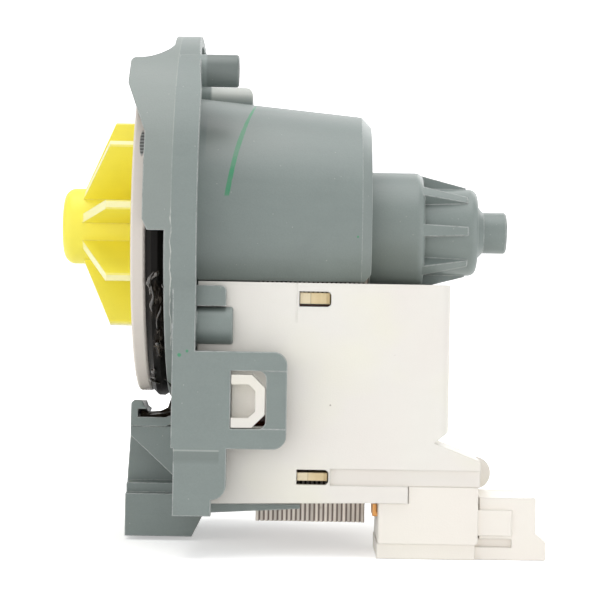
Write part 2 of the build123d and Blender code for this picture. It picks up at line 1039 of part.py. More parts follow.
def rear_thrust_washer():
    """The washer in front of the rear bush."""
    return thrust_washer(rear_washer_start())


# Impeller and its coupling


def hub_key():
    """The sector inside the hub that the coupling's dog pushes on."""
    return turned(
        [
            (-hub_bore_front - overrun, hub_key_inner),
            (-hub_bore_front - overrun, hub_bore_radius + edge_break),
            (-dog_rear, hub_bore_radius + edge_break),
            (-dog_rear, hub_key_inner),
        ],
        0,
        hub_key_angle,
    )


def impeller():
    """The yellow impeller: domed hub, nine radial blades and the inner key."""
    hub = rod(hub_radius, -hub_front, -impeller_rear)
    hub = fillet(hub.edges().sort_by(Axis.X)[0], hub_corner)
    half = blade_thickness / 2
    blade = side_plate(
        [
            (-impeller_rear, 0),
            (-impeller_rear, impeller_radius),
            (-blade_tip_front, impeller_radius),
            (-blade_root_front, hub_radius),
            (-blade_root_front, 0),
        ],
        -half,
        half,
    )
    tip = blade.edges().filter_by(Axis.X).sort_by(Axis.Z)[-2:]
    blade = chamfer(tip, edge_break)
    for index in range(blade_count):
        hub += Rot(blade_first_angle + index * 360 / blade_count, 0, 0) * blade
    hub -= rod(hub_bore_radius, -hub_bore_front, 0)
    hub += hub_key()
    return single(hub - rod(shaft_radius + shaft_clearance, -hub_socket_front, 0))


def dog_centre():
    """The dog's middle angle at rest, one bumper and one play away from the key."""
    return hub_key_angle / 2 + coupling_play + bumper_angle + dog_angle / 2


def coupling_dog():
    """The driving sector pressed on the shaft inside the hub."""
    outer = hub_bore_radius - free_clearance
    collar_outer = hub_key_inner - shaft_clearance - slip_clearance
    collar = tube(collar_outer, shaft_radius, -dog_front, -dog_rear)
    dog = turned(
        [
            (-dog_front, shaft_radius),
            (-dog_front, outer),
            (-dog_rear, outer),
            (-dog_rear, shaft_radius),
        ],
        dog_centre(),
        dog_angle,
    )
    return single(collar + dog)


def coupling_bumpers():
    """The two rubber pads on the sides of the dog."""
    outer = hub_bore_radius - free_clearance
    profile = [
        (-dog_front, hub_key_inner),
        (-dog_front, outer),
        (-dog_rear, outer),
        (-dog_rear, hub_key_inner),
    ]
    offset = (dog_angle + bumper_angle) / 2
    return [turned(profile, dog_centre() + side * offset, bumper_angle) for side in (-1, 1)]


def hub_retainer():
    """The ring that closes the back of the impeller hub."""
    rear = -impeller_rear
    ring = tube(hub_bore_radius, shaft_radius + slip_clearance, rear - retainer_thickness, rear)
    return chamfer(ring.edges().sort_by(Axis.X)[-1], edge_break)


# Stator


def leg_outline(inset=0):
    """The U of the core seen along X: a yoke and two poles round the rotor can."""
    outer = leg_outer - inset
    inner = leg_inner + inset
    bottom = -core_bottom + inset
    top = pole_top - inset
    sketch = make_face(Polyline(
        (-outer, bottom), (outer, bottom), (outer, top), (inner, top),
        (inner, -yoke_top - inset), (-inner, -yoke_top - inset), (-inner, top), (-outer, top),
        close=True,
    ))
    sketch -= Circle(pole_bore + inset)
    trim = Pos(0, pole_top) * Rectangle(4 * leg_outer, 2 * (pole_top + cover_top))
    trim -= Circle(pole_outer_radius - inset)
    return sketch - trim


def sheet(sketch, start, thickness):
    """A flat sheet of the core."""
    return extrude(Plane.YZ.offset(start) * sketch, amount=thickness)


def stator_core():
    """The riveted stack, with a groove between neighbouring sheets."""
    stack = sheet(leg_outline(sheet_groove), core_front, core_length)
    pitch = core_length / (sheet_count - 1 + sheet_share)
    full = leg_outline()
    for index in range(sheet_count):
        stack += sheet(full, core_front + index * pitch, pitch * sheet_share)
    for y, z in rivet_places():
        stack -= rod(rivet_radius, core_front - overrun, core_front + core_length + overrun, y, z)
    return single(stack)


def rivet_places():
    """The (y, z) places of the three rivets through the yoke."""
    return [(place * rivet_spacing, -rivet_height) for place in (-1, 0, 1)]


def core_rivets():
    """The flush rivets that hold the stack."""
    return [rod(rivet_radius, core_front, core_front + core_length, y, z) for y, z in rivet_places()]


def leg_column(grow, low, high, side_grow=0):
    """A box round the near leg, larger than it by a given amount."""
    return block(
        (core_front - grow - side_grow, core_front + core_length + grow + side_grow),
        (-leg_outer - grow, -leg_inner + grow),
        (low, high),
    )


def bobbin_flange(low, high):
    """A bobbin flange round the near leg."""
    plate = block(
        (core_front - bobbin_flange_overhang, core_front + core_length + bobbin_flange_overhang),
        (-bobbin_flange_outer, -bobbin_flange_inner),
        (low, high),
    )
    return fillet(plate.edges().filter_by(Axis.Z), bobbin_corner)


def bobbin_snap(low, high):
    """The nose on a flange that shows in the cover's window."""
    return block(
        (snap_front, snap_front + snap_width),
        (-cover_half_width + cover_wall / 2, -bobbin_flange_outer + overrun),
        (low, high),
    )


def bobbin_near():
    """The near coil former."""
    inner = bobbin_clearance
    outer = bobbin_clearance + bobbin_wall
    top = -bobbin_top
    bottom = -bobbin_bottom
    body = leg_column(outer, bottom, top)
    for low, high in ((top - bobbin_top_flange, top), (bottom, bottom + bobbin_bottom_flange)):
        body += bobbin_flange(low, high) + bobbin_snap(low, high)
    body -= leg_column(inner, bottom - overrun, top + overrun)
    can_room = can_bore + can_wall + slip_clearance
    return single(body - rod(can_room, 0, cover_rear))


def bobbin_far():
    """The far coil former."""
    return mirror(bobbin_near(), Plane.XZ)


def winding_near():
    """The near winding, wound between the former's flanges."""
    inner = bobbin_clearance + bobbin_wall
    low = -bobbin_bottom + bobbin_bottom_flange
    high = -bobbin_top - bobbin_top_flange
    outside = leg_column(inner + winding_build, low, high, winding_side_build - winding_build)
    outside = fillet(outside.edges().filter_by(Axis.Z), winding_corner)
    body = outside - leg_column(inner, low - overrun, high + overrun)
    return single(body - rod(can_bore + can_wall + slip_clearance, 0, cover_rear))


def winding_far():
    """The far winding."""
    return mirror(winding_near(), Plane.XZ)


# Coil cover


def cover_body(inset=0):
    """The cover's main box with its bevelled lower rear edge."""
    half = cover_half_width - inset
    rear = cover_rear - inset
    body = block((cover_front, rear), (-half, half), (-cover_bottom + inset, -cover_top - inset))
    body = fillet(body.edges().filter_by(Axis.Z).sort_by(Axis.X)[-2:], cover_corner - inset)
    below_bevel = side_plate(
        [
            (rear + overrun, -cover_bevel_top),
            (rear, -cover_bevel_top),
            (rear - cover_bevel, -extension_roof_top),
            (rear - cover_bevel, -cover_bottom - overrun),
            (rear + overrun, -cover_bottom - overrun),
        ],
        -half - overrun,
        half + overrun,
    )
    return body - below_bevel


def extension_body(inset=0):
    """The rear extension with its sloping roof."""
    return side_plate(
        [
            (extension_root, -extension_root_top - inset),
            (cover_rear - cover_bevel, -extension_roof_top - inset),
            (extension_rear - inset, -extension_roof_end - inset),
            (extension_rear - inset, -cover_bottom + inset),
            (extension_root, -cover_bottom + inset),
        ],
        -extension_near + inset,
        -extension_far - inset,
    )


def cover_windows():
    """The two snap windows in the near wall."""
    windows = []
    spans = [(upper_window_top, upper_window_bottom), (lower_window_top, lower_window_bottom)]
    for top, bottom in spans:
        window = block(
            (cover_window_front, cover_window_rear),
            (-cover_half_width - overrun, -cover_half_width + cover_wall + overrun),
            (-bottom, -top),
        )
        corners = window.edges().filter_by(Axis.Y).sort_by(Axis.X)[-2:]
        windows.append(fillet(corners, cover_window_corner))
    return windows[0] + windows[1]


def snap_catch():
    """The catch that fills the housing's loop, bevelled towards the rear."""
    front = window_front + catch_front_gap
    rear = window_rear - catch_gap
    top = -window_top - catch_top_gap
    bottom = -window_bottom + catch_gap
    near = -cover_half_width - catch_height
    base = block((front, rear), (near, -cover_half_width + cover_wall / 2), (bottom, top))
    base = chamfer(base.edges().filter_by(Axis.Y).sort_by(Axis.X)[-2:], catch_bevel)
    hollow = block(
        (front - overrun, rear - catch_rim),
        (near - overrun, near + catch_recess),
        (bottom + catch_rim, top - catch_rim),
    )
    corners = hollow.edges().filter_by(Axis.Y).sort_by(Axis.X)[-2:]
    return base - chamfer(corners, catch_recess_bevel)


def catch_slot():
    """The hole in the cover's wall that the catch's lower bevel leaves open."""
    rear = window_rear - catch_gap
    bottom = -window_bottom + catch_gap
    return block(
        (rear - catch_bevel, rear),
        (-cover_half_width - overrun, -cover_half_width + cover_wall + overrun),
        (bottom, bottom + catch_bevel),
    )


def side_panel():
    """The shallow panel in the near wall above the slab."""
    return block(
        (panel_front, extension_rear + overrun),
        (-cover_half_width - overrun, -cover_half_width + panel_depth),
        (-panel_bottom, -panel_top),
    )


def bottom_slab():
    """The lower edge of the near wall, deeper towards the flange."""
    slab = side_plate(
        [
            (cover_front, -panel_bottom),
            (cover_front, -cover_bottom - slab_drop),
            (block_front - slip_clearance, -cover_bottom),
            (slab_rear, -cover_bottom),
            (slab_rear, -panel_bottom),
        ],
        -cover_half_width,
        -cover_half_width + cover_wall,
    )
    corner = slab.edges().filter_by(Axis.Y).sort_by(Axis.X)[-2:].sort_by(Axis.Z)[0]
    return fillet(corner, slab_corner)


def connector_step(grow=0):
    """The lower rear corner of the cover, given up to the connector's block."""
    return block(
        (slab_rear - grow, extension_rear + overrun),
        (-cover_half_width - overrun, -connector_far + slip_clearance + grow),
        (-cover_bottom - slab_drop - overrun, -panel_bottom + grow),
    )


def mould_line():
    """The faint parting line below the top edge."""
    return block(
        (mould_line_at, mould_line_at + mould_line_width),
        (-cover_half_width - overrun, -cover_half_width + mould_line_depth),
        (-cover_top - mould_line_length, -cover_top + overrun),
    )


def extension_fin():
    """The rounded fin at the far side of the extension."""
    fin = block(
        (cover_rear - overrun, fin_reach),
        (-extension_far - fin_thickness, -extension_far),
        (-fin_bottom, -fin_top),
    )
    fin = fillet(fin.edges().filter_by(Axis.Y).sort_by(Axis.X)[-2:], fin_corner)
    sides = (-cover_half_width, 0)
    return fin - block((0, extension_rear), sides, (-cover_bottom, -panel_bottom))


def core_opening():
    """The room for the core in the deck and the floor."""
    core_rear = core_front + core_length + slip_clearance
    floor_hole = block(
        (core_front - slip_clearance, core_rear),
        (-leg_outer - slip_clearance, leg_outer + slip_clearance),
        (-cover_bottom - overrun, -cover_bottom + cover_wall + overrun),
    )
    deck_half = hood_rear_radius - hood_wall
    deck_hole = block(
        (cover_front - overrun, core_rear),
        (-deck_half, deck_half),
        (-cover_top - cover_wall - overrun, overrun),
    )
    return floor_hole + deck_hole


def can_saddle():
    """The room for the can and the rear bearing housing in the deck."""
    can = rod(can_bore + can_wall + slip_clearance, 0, hood_length + slip_clearance)
    return can + rod(housing_radius + slip_clearance, 0, housing_rear + slip_clearance)


def coil_cover():
    """The white box that closes round the coils, open towards the flange."""
    outer = cover_body() + extension_body()
    mouth = block(
        (cover_front - overrun, cover_front + overrun),
        (-cover_half_width + cover_wall, cover_half_width - cover_wall),
        (-cover_bottom + cover_wall, -cover_top - cover_wall),
    )
    inner = cover_body(cover_wall) + extension_body(cover_wall) + mouth
    inner -= connector_step(connector_step_wall)
    shape = outer - connector_step() - inner - side_panel() - mould_line()
    shape += panel_backing() + both_sides(bottom_slab()) + extension_fin()
    shape -= both_sides(cover_windows()) + core_opening() + connector_opening() + can_saddle()
    return single(shape - both_sides(catch_slot()) + both_sides(snap_catch()))


def panel_backing():
    """The wall behind the shallow panel."""
    return block(
        (panel_front, extension_rear - cover_wall),
        (-cover_half_width + panel_depth, -cover_half_width + panel_depth + cover_wall),
        (-panel_bottom, -panel_top),
    )


def connector_opening():
    """The slot in the extension's floor for the connector's terminals."""
    return block(
        (block_front + socket_wall, slab_rear - connector_step_wall - slip_clearance),
        (-connector_near + socket_wall, -connector_far - socket_wall),
        (-cover_bottom - overrun, -cover_bottom + cover_wall + overrun),
    )


# Connector


def connector_shell():
    """The block, its lower rail, the socket and the latch plate as full shapes."""
    body = block(
        (block_front, block_rear),
        (-connector_near, -connector_far),
        (-block_bottom, -cover_bottom),
    )
    corner = body.edges().filter_by(Axis.Y).sort_by(Axis.X)[-2:].sort_by(Axis.Z)[0]
    body = chamfer(corner, rail_inset)
    corner = body.edges().filter_by(Axis.Z).sort_by(Axis.X)[:2].sort_by(Axis.Y)[0]
    body = fillet(corner, block_edge)
    body += block(
        (slab_rear + slip_clearance, block_rear),
        (-connector_near, -connector_far),
        (-cover_bottom - edge_break, -panel_bottom),
    )
    body += block(
        (rail_front, rail_rear),
        (-connector_near + rail_inset, -connector_far - rail_inset),
        (-rail_bottom, -block_bottom),
    )
    sides = (-socket_near, -socket_far)
    body += block((extension_rear + press_clearance, socket_rear), sides, (-socket_bottom, -socket_top))
    cheek = block((pad_rear, socket_rear), sides, (-latch_top, -socket_bottom))
    cheek += block(
        (rail_rear - edge_break, pad_rear),
        (-socket_near + latch_recess, -socket_far - latch_recess),
        (-latch_top, -socket_bottom),
    )
    plate = block((rail_rear, latch_rear), sides, (-rail_bottom, -latch_top))
    corner = plate.edges().filter_by(Axis.Y).sort_by(Axis.X)[-2:].sort_by(Axis.Z)[0]
    plate = fillet(corner, edge_break)
    lip = side_plate(
        [
            (socket_rear - edge_break, -latch_top - edge_break),
            (socket_rear - edge_break, -socket_bottom + lip_rise),
            (socket_rear, -socket_bottom + lip_rise),
            (latch_rear - lip_corner, -latch_top + lip_height),
            (latch_rear, -latch_top + lip_height - lip_corner),
            (latch_rear, -latch_top - edge_break),
        ],
        *sides,
    )
    pad = block(
        (block_rear - overrun, pad_rear),
        (-socket_near - pad_proud, -socket_near),
        (-pad_bottom, -pad_top),
    )
    corner = pad.edges().filter_by(Axis.Z).sort_by(Axis.Y)[:2].sort_by(Axis.X)[-1]
    pad = chamfer(corner, edge_break)
    return body + cheek + plate + lip + pad


def socket_cavity():
    """The mouth that the mating plug enters from the rear."""
    return block(
        (block_rear - socket_wall, socket_rear + overrun),
        (-socket_near + socket_wall, -socket_far - socket_wall),
        (-socket_bottom + socket_wall, -socket_top - socket_wall),
    )


def terminal_centres():
    """The y places of the two blades."""
    middle = -(connector_near + connector_far) / 2
    return middle - tab_spacing / 2, middle + tab_spacing / 2


def blade_height():
    """The z place of the blades' middle plane."""
    return -(socket_top + socket_bottom) / 2


def terminal(y):
    """A flat blade with a shoulder and a tail for the winding's end."""
    z = blade_height()
    half = tab_blade / 2
    width = tab_width / 2
    blade = block((tab_tail, tab_tip), (y - width, y + width), (z - half, z + half))
    blade = chamfer(blade.edges().filter_by(Axis.Z).sort_by(Axis.X)[-2:], tab_tip_bevel)
    tail = block(
        (tab_tail, tab_tail + tab_blade),
        (y - width, y + width),
        (z - half, z + tab_tail_rise),
    )
    return blade + tail


def terminal_room(y):
    """The slit in the block that a blade is pressed into."""
    z = blade_height()
    half = tab_blade / 2
    width = tab_width / 2
    return block((block_front - overrun, block_rear), (y - width, y + width), (z - half, z + half))


def connector_housing():
    """The white socket block."""
    shape = connector_shell() - socket_cavity()
    for y in terminal_centres():
        shape -= terminal_room(y)
    return single(shape)


def terminal_near():
    """The near blade."""
    return terminal(terminal_centres()[0])


def terminal_far():
    """The far blade."""
    return terminal(terminal_centres()[1])


# Thermal fuse


def fuse_place():
    """The (x, y) place of the fuse, against the rear of the near winding."""
    rear = core_front + core_length + bobbin_clearance + bobbin_wall + winding_side_build
    return rear + fuse_radius + edge_break / 2, -(leg_inner + leg_outer) / 2


def thermal_fuse():
    """The fuse that lies against the near winding."""
    x, y = fuse_place()
    body = Pos(x, y, -fuse_height - fuse_length) * Cylinder(
        fuse_radius, fuse_length, align=(Align.CENTER, Align.CENTER, Align.MIN)
    )
    return fillet(body.edges().filter_by(GeomType.CIRCLE), edge_break)


nodes = {
    "motor_housing": motor_housing,
    "back_plate": back_plate,
    "volute_gasket": volute_gasket,
    "back_plate_sealing_ring": sealing_ring,
    "front_bearing": front_bearing,
    "front_bearing_mount": front_bearing_mount,
    "rear_bearing": rear_bearing,
    "rear_bearing_mount": rear_bearing_mount,
    "rotor_shaft": rotor_shaft,
    "rotor_magnet": rotor_magnet,
    "rotor_hub": rotor_hub,
    "front_thrust_washer": front_thrust_washer,
    "rear_thrust_washer": rear_thrust_washer,
    "impeller": impeller,
    "coupling_dog": coupling_dog,
    "coupling_bumpers": coupling_bumpers,
    "hub_retainer": hub_retainer,
    "stator_core": stator_core,
    "core_rivets": core_rivets,
    "bobbin_near": bobbin_near,
    "bobbin_far": bobbin_far,
    "winding_near": winding_near,
    "winding_far": winding_far,
    "thermal_fuse": thermal_fuse,
    "coil_cover": coil_cover,
    "connector_housing": connector_housing,
    "terminal_near": terminal_near,
    "terminal_far": terminal_far,
}

os.makedirs("parts", exist_ok=True)
for name, make in nodes.items():
    made = make()
    pieces = made if isinstance(made, list) else [made]
    shape = Compound(children=pieces) if len(pieces) > 1 else pieces[0]
    export_step(shape, f"parts/{name}.step")
    print(name, len(shape.solids()), round(shape.volume, 1))
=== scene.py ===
"""Washer drain pump: finishes, paint marks and photo stage round the fixed frame.

Frame axes: the rotor turns about X with the impeller at -X, +Z is up and the near side is -Y.
Sizes are in metres unless a name says millimetres; one millimetre is the value MM.
"""
import math

import bpy
import numpy as np
from bpy.props import FloatProperty, FloatVectorProperty, PointerProperty
from mathutils import Euler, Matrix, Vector


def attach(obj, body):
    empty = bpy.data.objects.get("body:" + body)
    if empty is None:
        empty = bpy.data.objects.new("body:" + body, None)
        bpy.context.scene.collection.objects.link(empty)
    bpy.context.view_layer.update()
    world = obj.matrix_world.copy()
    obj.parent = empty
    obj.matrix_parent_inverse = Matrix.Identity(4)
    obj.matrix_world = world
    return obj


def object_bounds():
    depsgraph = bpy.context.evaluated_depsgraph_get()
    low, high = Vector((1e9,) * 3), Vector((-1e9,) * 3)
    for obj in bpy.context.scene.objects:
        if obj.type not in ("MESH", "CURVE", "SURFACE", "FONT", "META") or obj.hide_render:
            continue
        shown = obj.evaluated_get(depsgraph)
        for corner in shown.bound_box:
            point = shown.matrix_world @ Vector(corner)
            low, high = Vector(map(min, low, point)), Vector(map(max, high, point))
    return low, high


bl_info = {
    "name": "Washer Drain Pump",
    "version": (1, 0, 0),
    "blender": (4, 5, 0),
    "location": "3D View > Sidebar > Drain Pump",
    "description": "Dresses a washer drain pump and sets its photo stage",
    "category": "Object",
}

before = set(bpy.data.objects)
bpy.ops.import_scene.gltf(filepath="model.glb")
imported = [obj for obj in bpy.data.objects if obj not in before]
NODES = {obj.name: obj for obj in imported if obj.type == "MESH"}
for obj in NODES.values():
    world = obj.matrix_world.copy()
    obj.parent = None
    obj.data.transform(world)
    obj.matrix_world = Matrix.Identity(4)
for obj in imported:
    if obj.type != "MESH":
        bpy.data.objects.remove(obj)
cad_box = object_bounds()
MM = 0.001


# Colours


def linear(red, green, blue):
    """A display colour of 0 to 255 as scene-linear red, green and blue."""
    share = np.array((red, green, blue)) / 255
    return tuple(np.where(share <= 0.04045, share / 12.92, ((share + 0.055) / 1.055) ** 2.4))


def colour_property(name, shown):
    """A colour setting with the given display colour as its default."""
    return FloatVectorProperty(name=name, description=name + " base colour", subtype="COLOR",
                               size=3, min=0, max=1, default=linear(*shown))


class PumpColours(bpy.types.PropertyGroup):
    """Base colours of the pump's finishes."""

    housing: colour_property("Housing plastic", (128, 138, 135))
    impeller: colour_property("Impeller plastic", (252, 240, 84))
    # Colour of the painted highlight on the blades' outer faces.
    blade_highlight_colour: colour_property("Blade edge", (254, 250, 190))
    back_plate: colour_property("Back plate plastic", (232, 223, 214))
    cover: colour_property("Cover plastic", (238, 235, 228))
    connector: colour_property("Connector plastic", (246, 242, 232))
    rubber: colour_property("Rubber", (17, 15, 13))
    grease: colour_property("Grease", (30, 24, 18))
    bobbin: colour_property("Bobbin plastic", (226, 205, 160))
    marker: colour_property("Marker ink", (30, 140, 92))
    core: colour_property("Core sheet", (232, 224, 214))
    core_gap: colour_property("Gap between sheets", (124, 110, 102))
    steel: colour_property("Shaft steel", (190, 192, 194))
    copper: colour_property("Enamelled wire", (158, 72, 40))
    tin: colour_property("Tinned terminal", (204, 192, 160))
    ferrite: colour_property("Ferrite", (52, 51, 54))
    graphite: colour_property("Bush", (70, 66, 62))
    rotor_plastic: colour_property("Rotor plastic", (66, 68, 72))
    ceramic: colour_property("Fuse ceramic", (206, 198, 184))


class PumpWear(bpy.types.PropertyGroup):
    """How worn the surfaces are, with the pale edge band also standing as painted edge highlight."""

    edge_width: FloatProperty(name="Edge width", description="Width of the worn band on edges",
                              unit="LENGTH", subtype="DISTANCE", min=0, default=0.35 * MM)
    edge_fade: FloatProperty(name="Edge fade", description="How much paler the worn edges are",
                             subtype="FACTOR", min=0, max=1, default=0.35)
    grain_size: FloatProperty(name="Grain size", description="Size of the moulded grain",
                              unit="LENGTH", subtype="DISTANCE", min=0, default=0.28 * MM)


class PumpStage(bpy.types.PropertyGroup):
    """Camera and light of the photo stage."""

    distance: FloatProperty(name="Camera distance", description="Camera to rotor axis",
                            unit="LENGTH", subtype="DISTANCE", min=0.1, default=0.410)
    lens: FloatProperty(name="Lens", description="Focal length on a 36 mm sensor", subtype="NONE",
                        min=10, default=123.0)
    roll: FloatProperty(name="Camera roll", description="Turn of the camera about its view",
                        unit="ROTATION", subtype="ANGLE", default=math.radians(0.978))
    sky: FloatProperty(name="Sky level", description="Even light from all round",
                       subtype="FACTOR", min=0, max=1, default=0.3)
    floor_glow: FloatProperty(name="Floor glow", description="Light that the camera sees from the floor",
                              subtype="FACTOR", min=0, max=1, default=0.45)
    lamp: FloatProperty(name="Lamp level", description="Strength of all soft lamps together",
                        subtype="FACTOR", min=0, max=4, default=1.0)


# Node helpers


class Graph:
    """Adds nodes to a tree and wires them by socket name."""

    def __init__(self, tree):
        self.tree = tree
        self.column = 0

    def node(self, kind, sockets=None, **settings):
        made = self.tree.nodes.new(kind)
        self.column += 1
        made.location = (180 * (self.column % 8), -220 * (self.column // 8))
        for key, value in settings.items():
            setattr(made, key, value)
        for key, value in (sockets or {}).items():
            self.feed(made.inputs[key], value)
        return made

    def feed(self, socket, value):
        """Link an output, or set a plain value, on an input."""
        if isinstance(value, bpy.types.NodeSocket):
            self.tree.links.new(value, socket)
        else:
            socket.default_value = value

    def math(self, operation, first, second=0.0, third=0.0, clamp=False):
        """The result of one arithmetic step."""
        made = self.node("ShaderNodeMath", {0: first, 1: second, 2: third},
                         operation=operation, use_clamp=clamp)
        return made.outputs[0]

    def remap(self, value, low, high, new_low=0.0, new_high=1.0):
        """A value stretched from one span to another, and held inside it."""
        made = self.node("ShaderNodeMapRange", {
            "Value": value, "From Min": low, "From Max": high,
            "To Min": new_low, "To Max": new_high})
        return made.outputs["Result"]

    def mix(self, factor, first, second, blend="MIX"):
        """Two colours mixed by a factor."""
        made = self.node("ShaderNodeMix", data_type="RGBA", blend_type=blend)
        self.feed(made.inputs["Factor"], factor)
        self.feed(made.inputs[6], first)
        self.feed(made.inputs[7], second)
        return made.outputs[2]

    def noise(self, vector, size, detail=2.0, rough=0.5):
        """Noise of a feature size in metres."""
        made = self.node("ShaderNodeTexNoise", {
            "Vector": vector, "Scale": 1.0 / size, "Detail": detail, "Roughness": rough})
        return made.outputs["Fac"]


def new_group(name, inputs, outputs):
    """An empty shader node group with float, colour and vector sockets."""
    tree = bpy.data.node_groups.new(name, "ShaderNodeTree")
    for label, kind, value in inputs:
        socket = tree.interface.new_socket(label, in_out="INPUT", socket_type="NodeSocket" + kind)
        socket.default_value = value
    for label, kind in outputs:
        tree.interface.new_socket(label, in_out="OUTPUT", socket_type="NodeSocket" + kind)
    graph = Graph(tree)
    return graph, graph.node("NodeGroupInput").outputs, graph.node("NodeGroupOutput").inputs


def grown(colour):
    """A colour with full opacity, as node sockets want it."""
    return (*colour, 1.0)


def speckles(graph, place, size, share, few):
    """Small round specks: cells of a given size whose centre lies within a share of it."""
    cells = graph.node("ShaderNodeTexVoronoi", {"Vector": place, "Scale": 1.0 / size})
    spot = graph.remap(cells.outputs["Distance"], share, share * 0.6)
    chosen = graph.node("ShaderNodeSeparateColor", {"Color": cells.outputs["Color"]}).outputs[0]
    return graph.math("MULTIPLY", spot, graph.math("GREATER_THAN", chosen, few))


def moulded_group():
    """Moulded plastic: cloudy colour, fine grain, dust and faint flow streaks along X."""
    graph, given, out = new_group("Moulded Plastic", [
        ("Colour", "Color", (0.5, 0.5, 0.5, 1)), ("Cloud", "Float", 0.08),
        ("Grain Size", "Float", 0.0003), ("Roughness", "Float", 0.45), ("Speckle", "Float", 0.04),
        ("Dust", "Float", 0.0),
    ], [("Colour", "Color"), ("Roughness", "Float"), ("Height", "Float")])
    place = graph.node("ShaderNodeTexCoord").outputs["Object"]
    cloud = graph.noise(place, 9 * MM, 4.0, 0.6)
    streak_place = graph.node("ShaderNodeMapping", {
        "Vector": place, "Scale": (0.16, 1.0, 1.0)}).outputs["Vector"]
    streak = graph.noise(streak_place, 2.2 * MM, 3.0, 0.55)
    grain = graph.node("ShaderNodeTexNoise", {
        "Vector": place, "Scale": graph.math("DIVIDE", 1.0, given["Grain Size"]),
        "Detail": 2.0}).outputs["Fac"]
    lift = graph.math("ADD", graph.math("SUBTRACT", cloud, 0.5),
                      graph.math("MULTIPLY", graph.math("SUBTRACT", streak, 0.5), 0.5))
    lift = graph.math("MULTIPLY", lift, given["Cloud"])
    lift = graph.math("MULTIPLY_ADD", graph.math("SUBTRACT", grain, 0.5), given["Speckle"], lift)
    value = graph.math("MULTIPLY_ADD", lift, 2.0, 1.0)
    tint = graph.node("ShaderNodeHueSaturation", {"Color": given["Colour"], "Value": value})
    dust = graph.math("MULTIPLY", speckles(graph, place, 1.3 * MM, 0.09, 0.72), given["Dust"])
    graph.feed(out["Colour"], graph.mix(dust, tint.outputs["Color"], (0.75, 0.74, 0.72, 1)))
    rough = graph.math("MULTIPLY_ADD", graph.math("SUBTRACT", cloud, 0.5), 0.3, given["Roughness"])
    rough = graph.math("MULTIPLY_ADD", graph.math("SUBTRACT", streak, 0.5), 0.12, rough)
    graph.feed(out["Roughness"], graph.math("ADD", rough, 0.0, clamp=True))
    graph.feed(out["Height"], grain)
    return graph.tree


def edge_group():
    """Edge wear and painted edge highlight: a broken band where the rounded normal leaves the true one."""
    graph, given, out = new_group("Edge Wear", [("Width", "Float", 0.0004)],
                                  [("Mask", "Float"), ("Normal", "Vector")])
    soft = graph.node("ShaderNodeBevel", {"Radius": given["Width"]}, samples=6).outputs["Normal"]
    true = graph.node("ShaderNodeNewGeometry").outputs["Normal"]
    dot = graph.node("ShaderNodeVectorMath", {0: soft, 1: true}, operation="DOT_PRODUCT")
    band = graph.remap(dot.outputs["Value"], 0.985, 0.86)
    place = graph.node("ShaderNodeTexCoord").outputs["Object"]
    broken = graph.remap(graph.noise(place, 1.6 * MM, 4.0, 0.7), 0.3, 0.52)
    graph.feed(out["Mask"], graph.math("MULTIPLY", band, broken))
    graph.feed(out["Normal"], soft)
    return graph.tree


def crevice_group():
    """Crevices: a mask of the hollows where dust and shade gather."""
    graph, given, out = new_group("Crevice", [("Reach", "Float", 0.002)], [("Mask", "Float")])
    shade = graph.node("ShaderNodeAmbientOcclusion", {"Distance": given["Reach"]}, samples=8)
    graph.feed(out["Mask"], graph.remap(shade.outputs["AO"], 0.75, 0.25))
    return graph.tree


GROUPS = {"moulded": moulded_group, "edge": edge_group, "crevice": crevice_group}


def shared_group(key):
    """The shared node group of this name, built at its first use."""
    made = GROUPS[key]
    if callable(made):
        made = GROUPS[key] = made()
    return made


class Finish(Graph):
    """A material with a Principled shader, and the shared effects ready to place."""

    def __init__(self, name):
        self.material = bpy.data.materials.new(name)
        self.material.use_nodes = True
        self.material.node_tree.nodes.clear()
        super().__init__(self.material.node_tree)
        self.shader = self.node("ShaderNodeBsdfPrincipled")
        self.node("ShaderNodeOutputMaterial", {"Surface": self.shader.outputs["BSDF"]})
        self.place = self.node("ShaderNodeTexCoord").outputs["Object"]

    def effect(self, key, **values):
        """A shared group placed here, with its own values."""
        made = self.node("ShaderNodeGroup", node_tree=shared_group(key))
        for label, value in values.items():
            self.feed(made.inputs[label.replace("_", " ")], value)
        return made.outputs

    def surface(self, colour, roughness, height=None, depth=0.02 * MM, normal=None, **plain):
        """Wire the shader: colour, roughness, bump, and plain values on its own sockets."""
        self.feed(self.shader.inputs["Base Color"], colour)
        self.feed(self.shader.inputs["Roughness"], roughness)
        if height is not None:
            bump = self.node("ShaderNodeBump", {"Height": height, "Distance": depth})
            if normal is not None:
                self.feed(bump.inputs["Normal"], normal)
            normal = bump.outputs["Normal"]
        if normal is not None:
            self.feed(self.shader.inputs["Normal"], normal)
        for label, value in plain.items():
            self.shader.inputs[label.replace("_", " ")].default_value = value
        return self.material


def plastic(name, colour, roughness=0.45, cloud=0.08, speckle=0.04, grain=None, depth=0.02 * MM,
            fade=None, edge=None, dirt_and_shade=(0.55, 0.53, 0.5), shade=0.35, dust=0.0, paint=None, **plain):
    """Moulded plastic with pale edges from wear and painted highlight, crevices darkened as painted shade
    with dirt, and marks painted by a function.
    """
    wear = bpy.context.scene.pump_wear
    made = Finish(name)
    skin = made.effect("moulded", Colour=grown(colour), Cloud=cloud, Speckle=speckle,
                       Grain_Size=grain or wear.grain_size, Roughness=roughness, Dust=dust)
    edges = made.effect("edge", Width=edge or wear.edge_width)
    hollow = made.effect("crevice", Reach=1.6 * MM)
    pale = tuple(0.45 * part + 0.5 for part in colour)
    # pale edge band: wear, and painted highlight where edges catch the light
    worn = made.math("MULTIPLY", edges["Mask"], wear.edge_fade if fade is None else fade)
    shown = made.mix(worn, skin["Colour"], grown(pale))
    # painted shade with dirt: crevices darkened from the occlusion mask
    dull = tuple(part * share for part, share in zip(colour, dirt_and_shade))
    shown = made.mix(made.math("MULTIPLY", hollow["Mask"], shade), shown, grown(dull))
    if paint:
        shown = paint(made, shown)
    return made.surface(shown, skin["Roughness"], skin["Height"], depth, edges["Normal"], **plain)


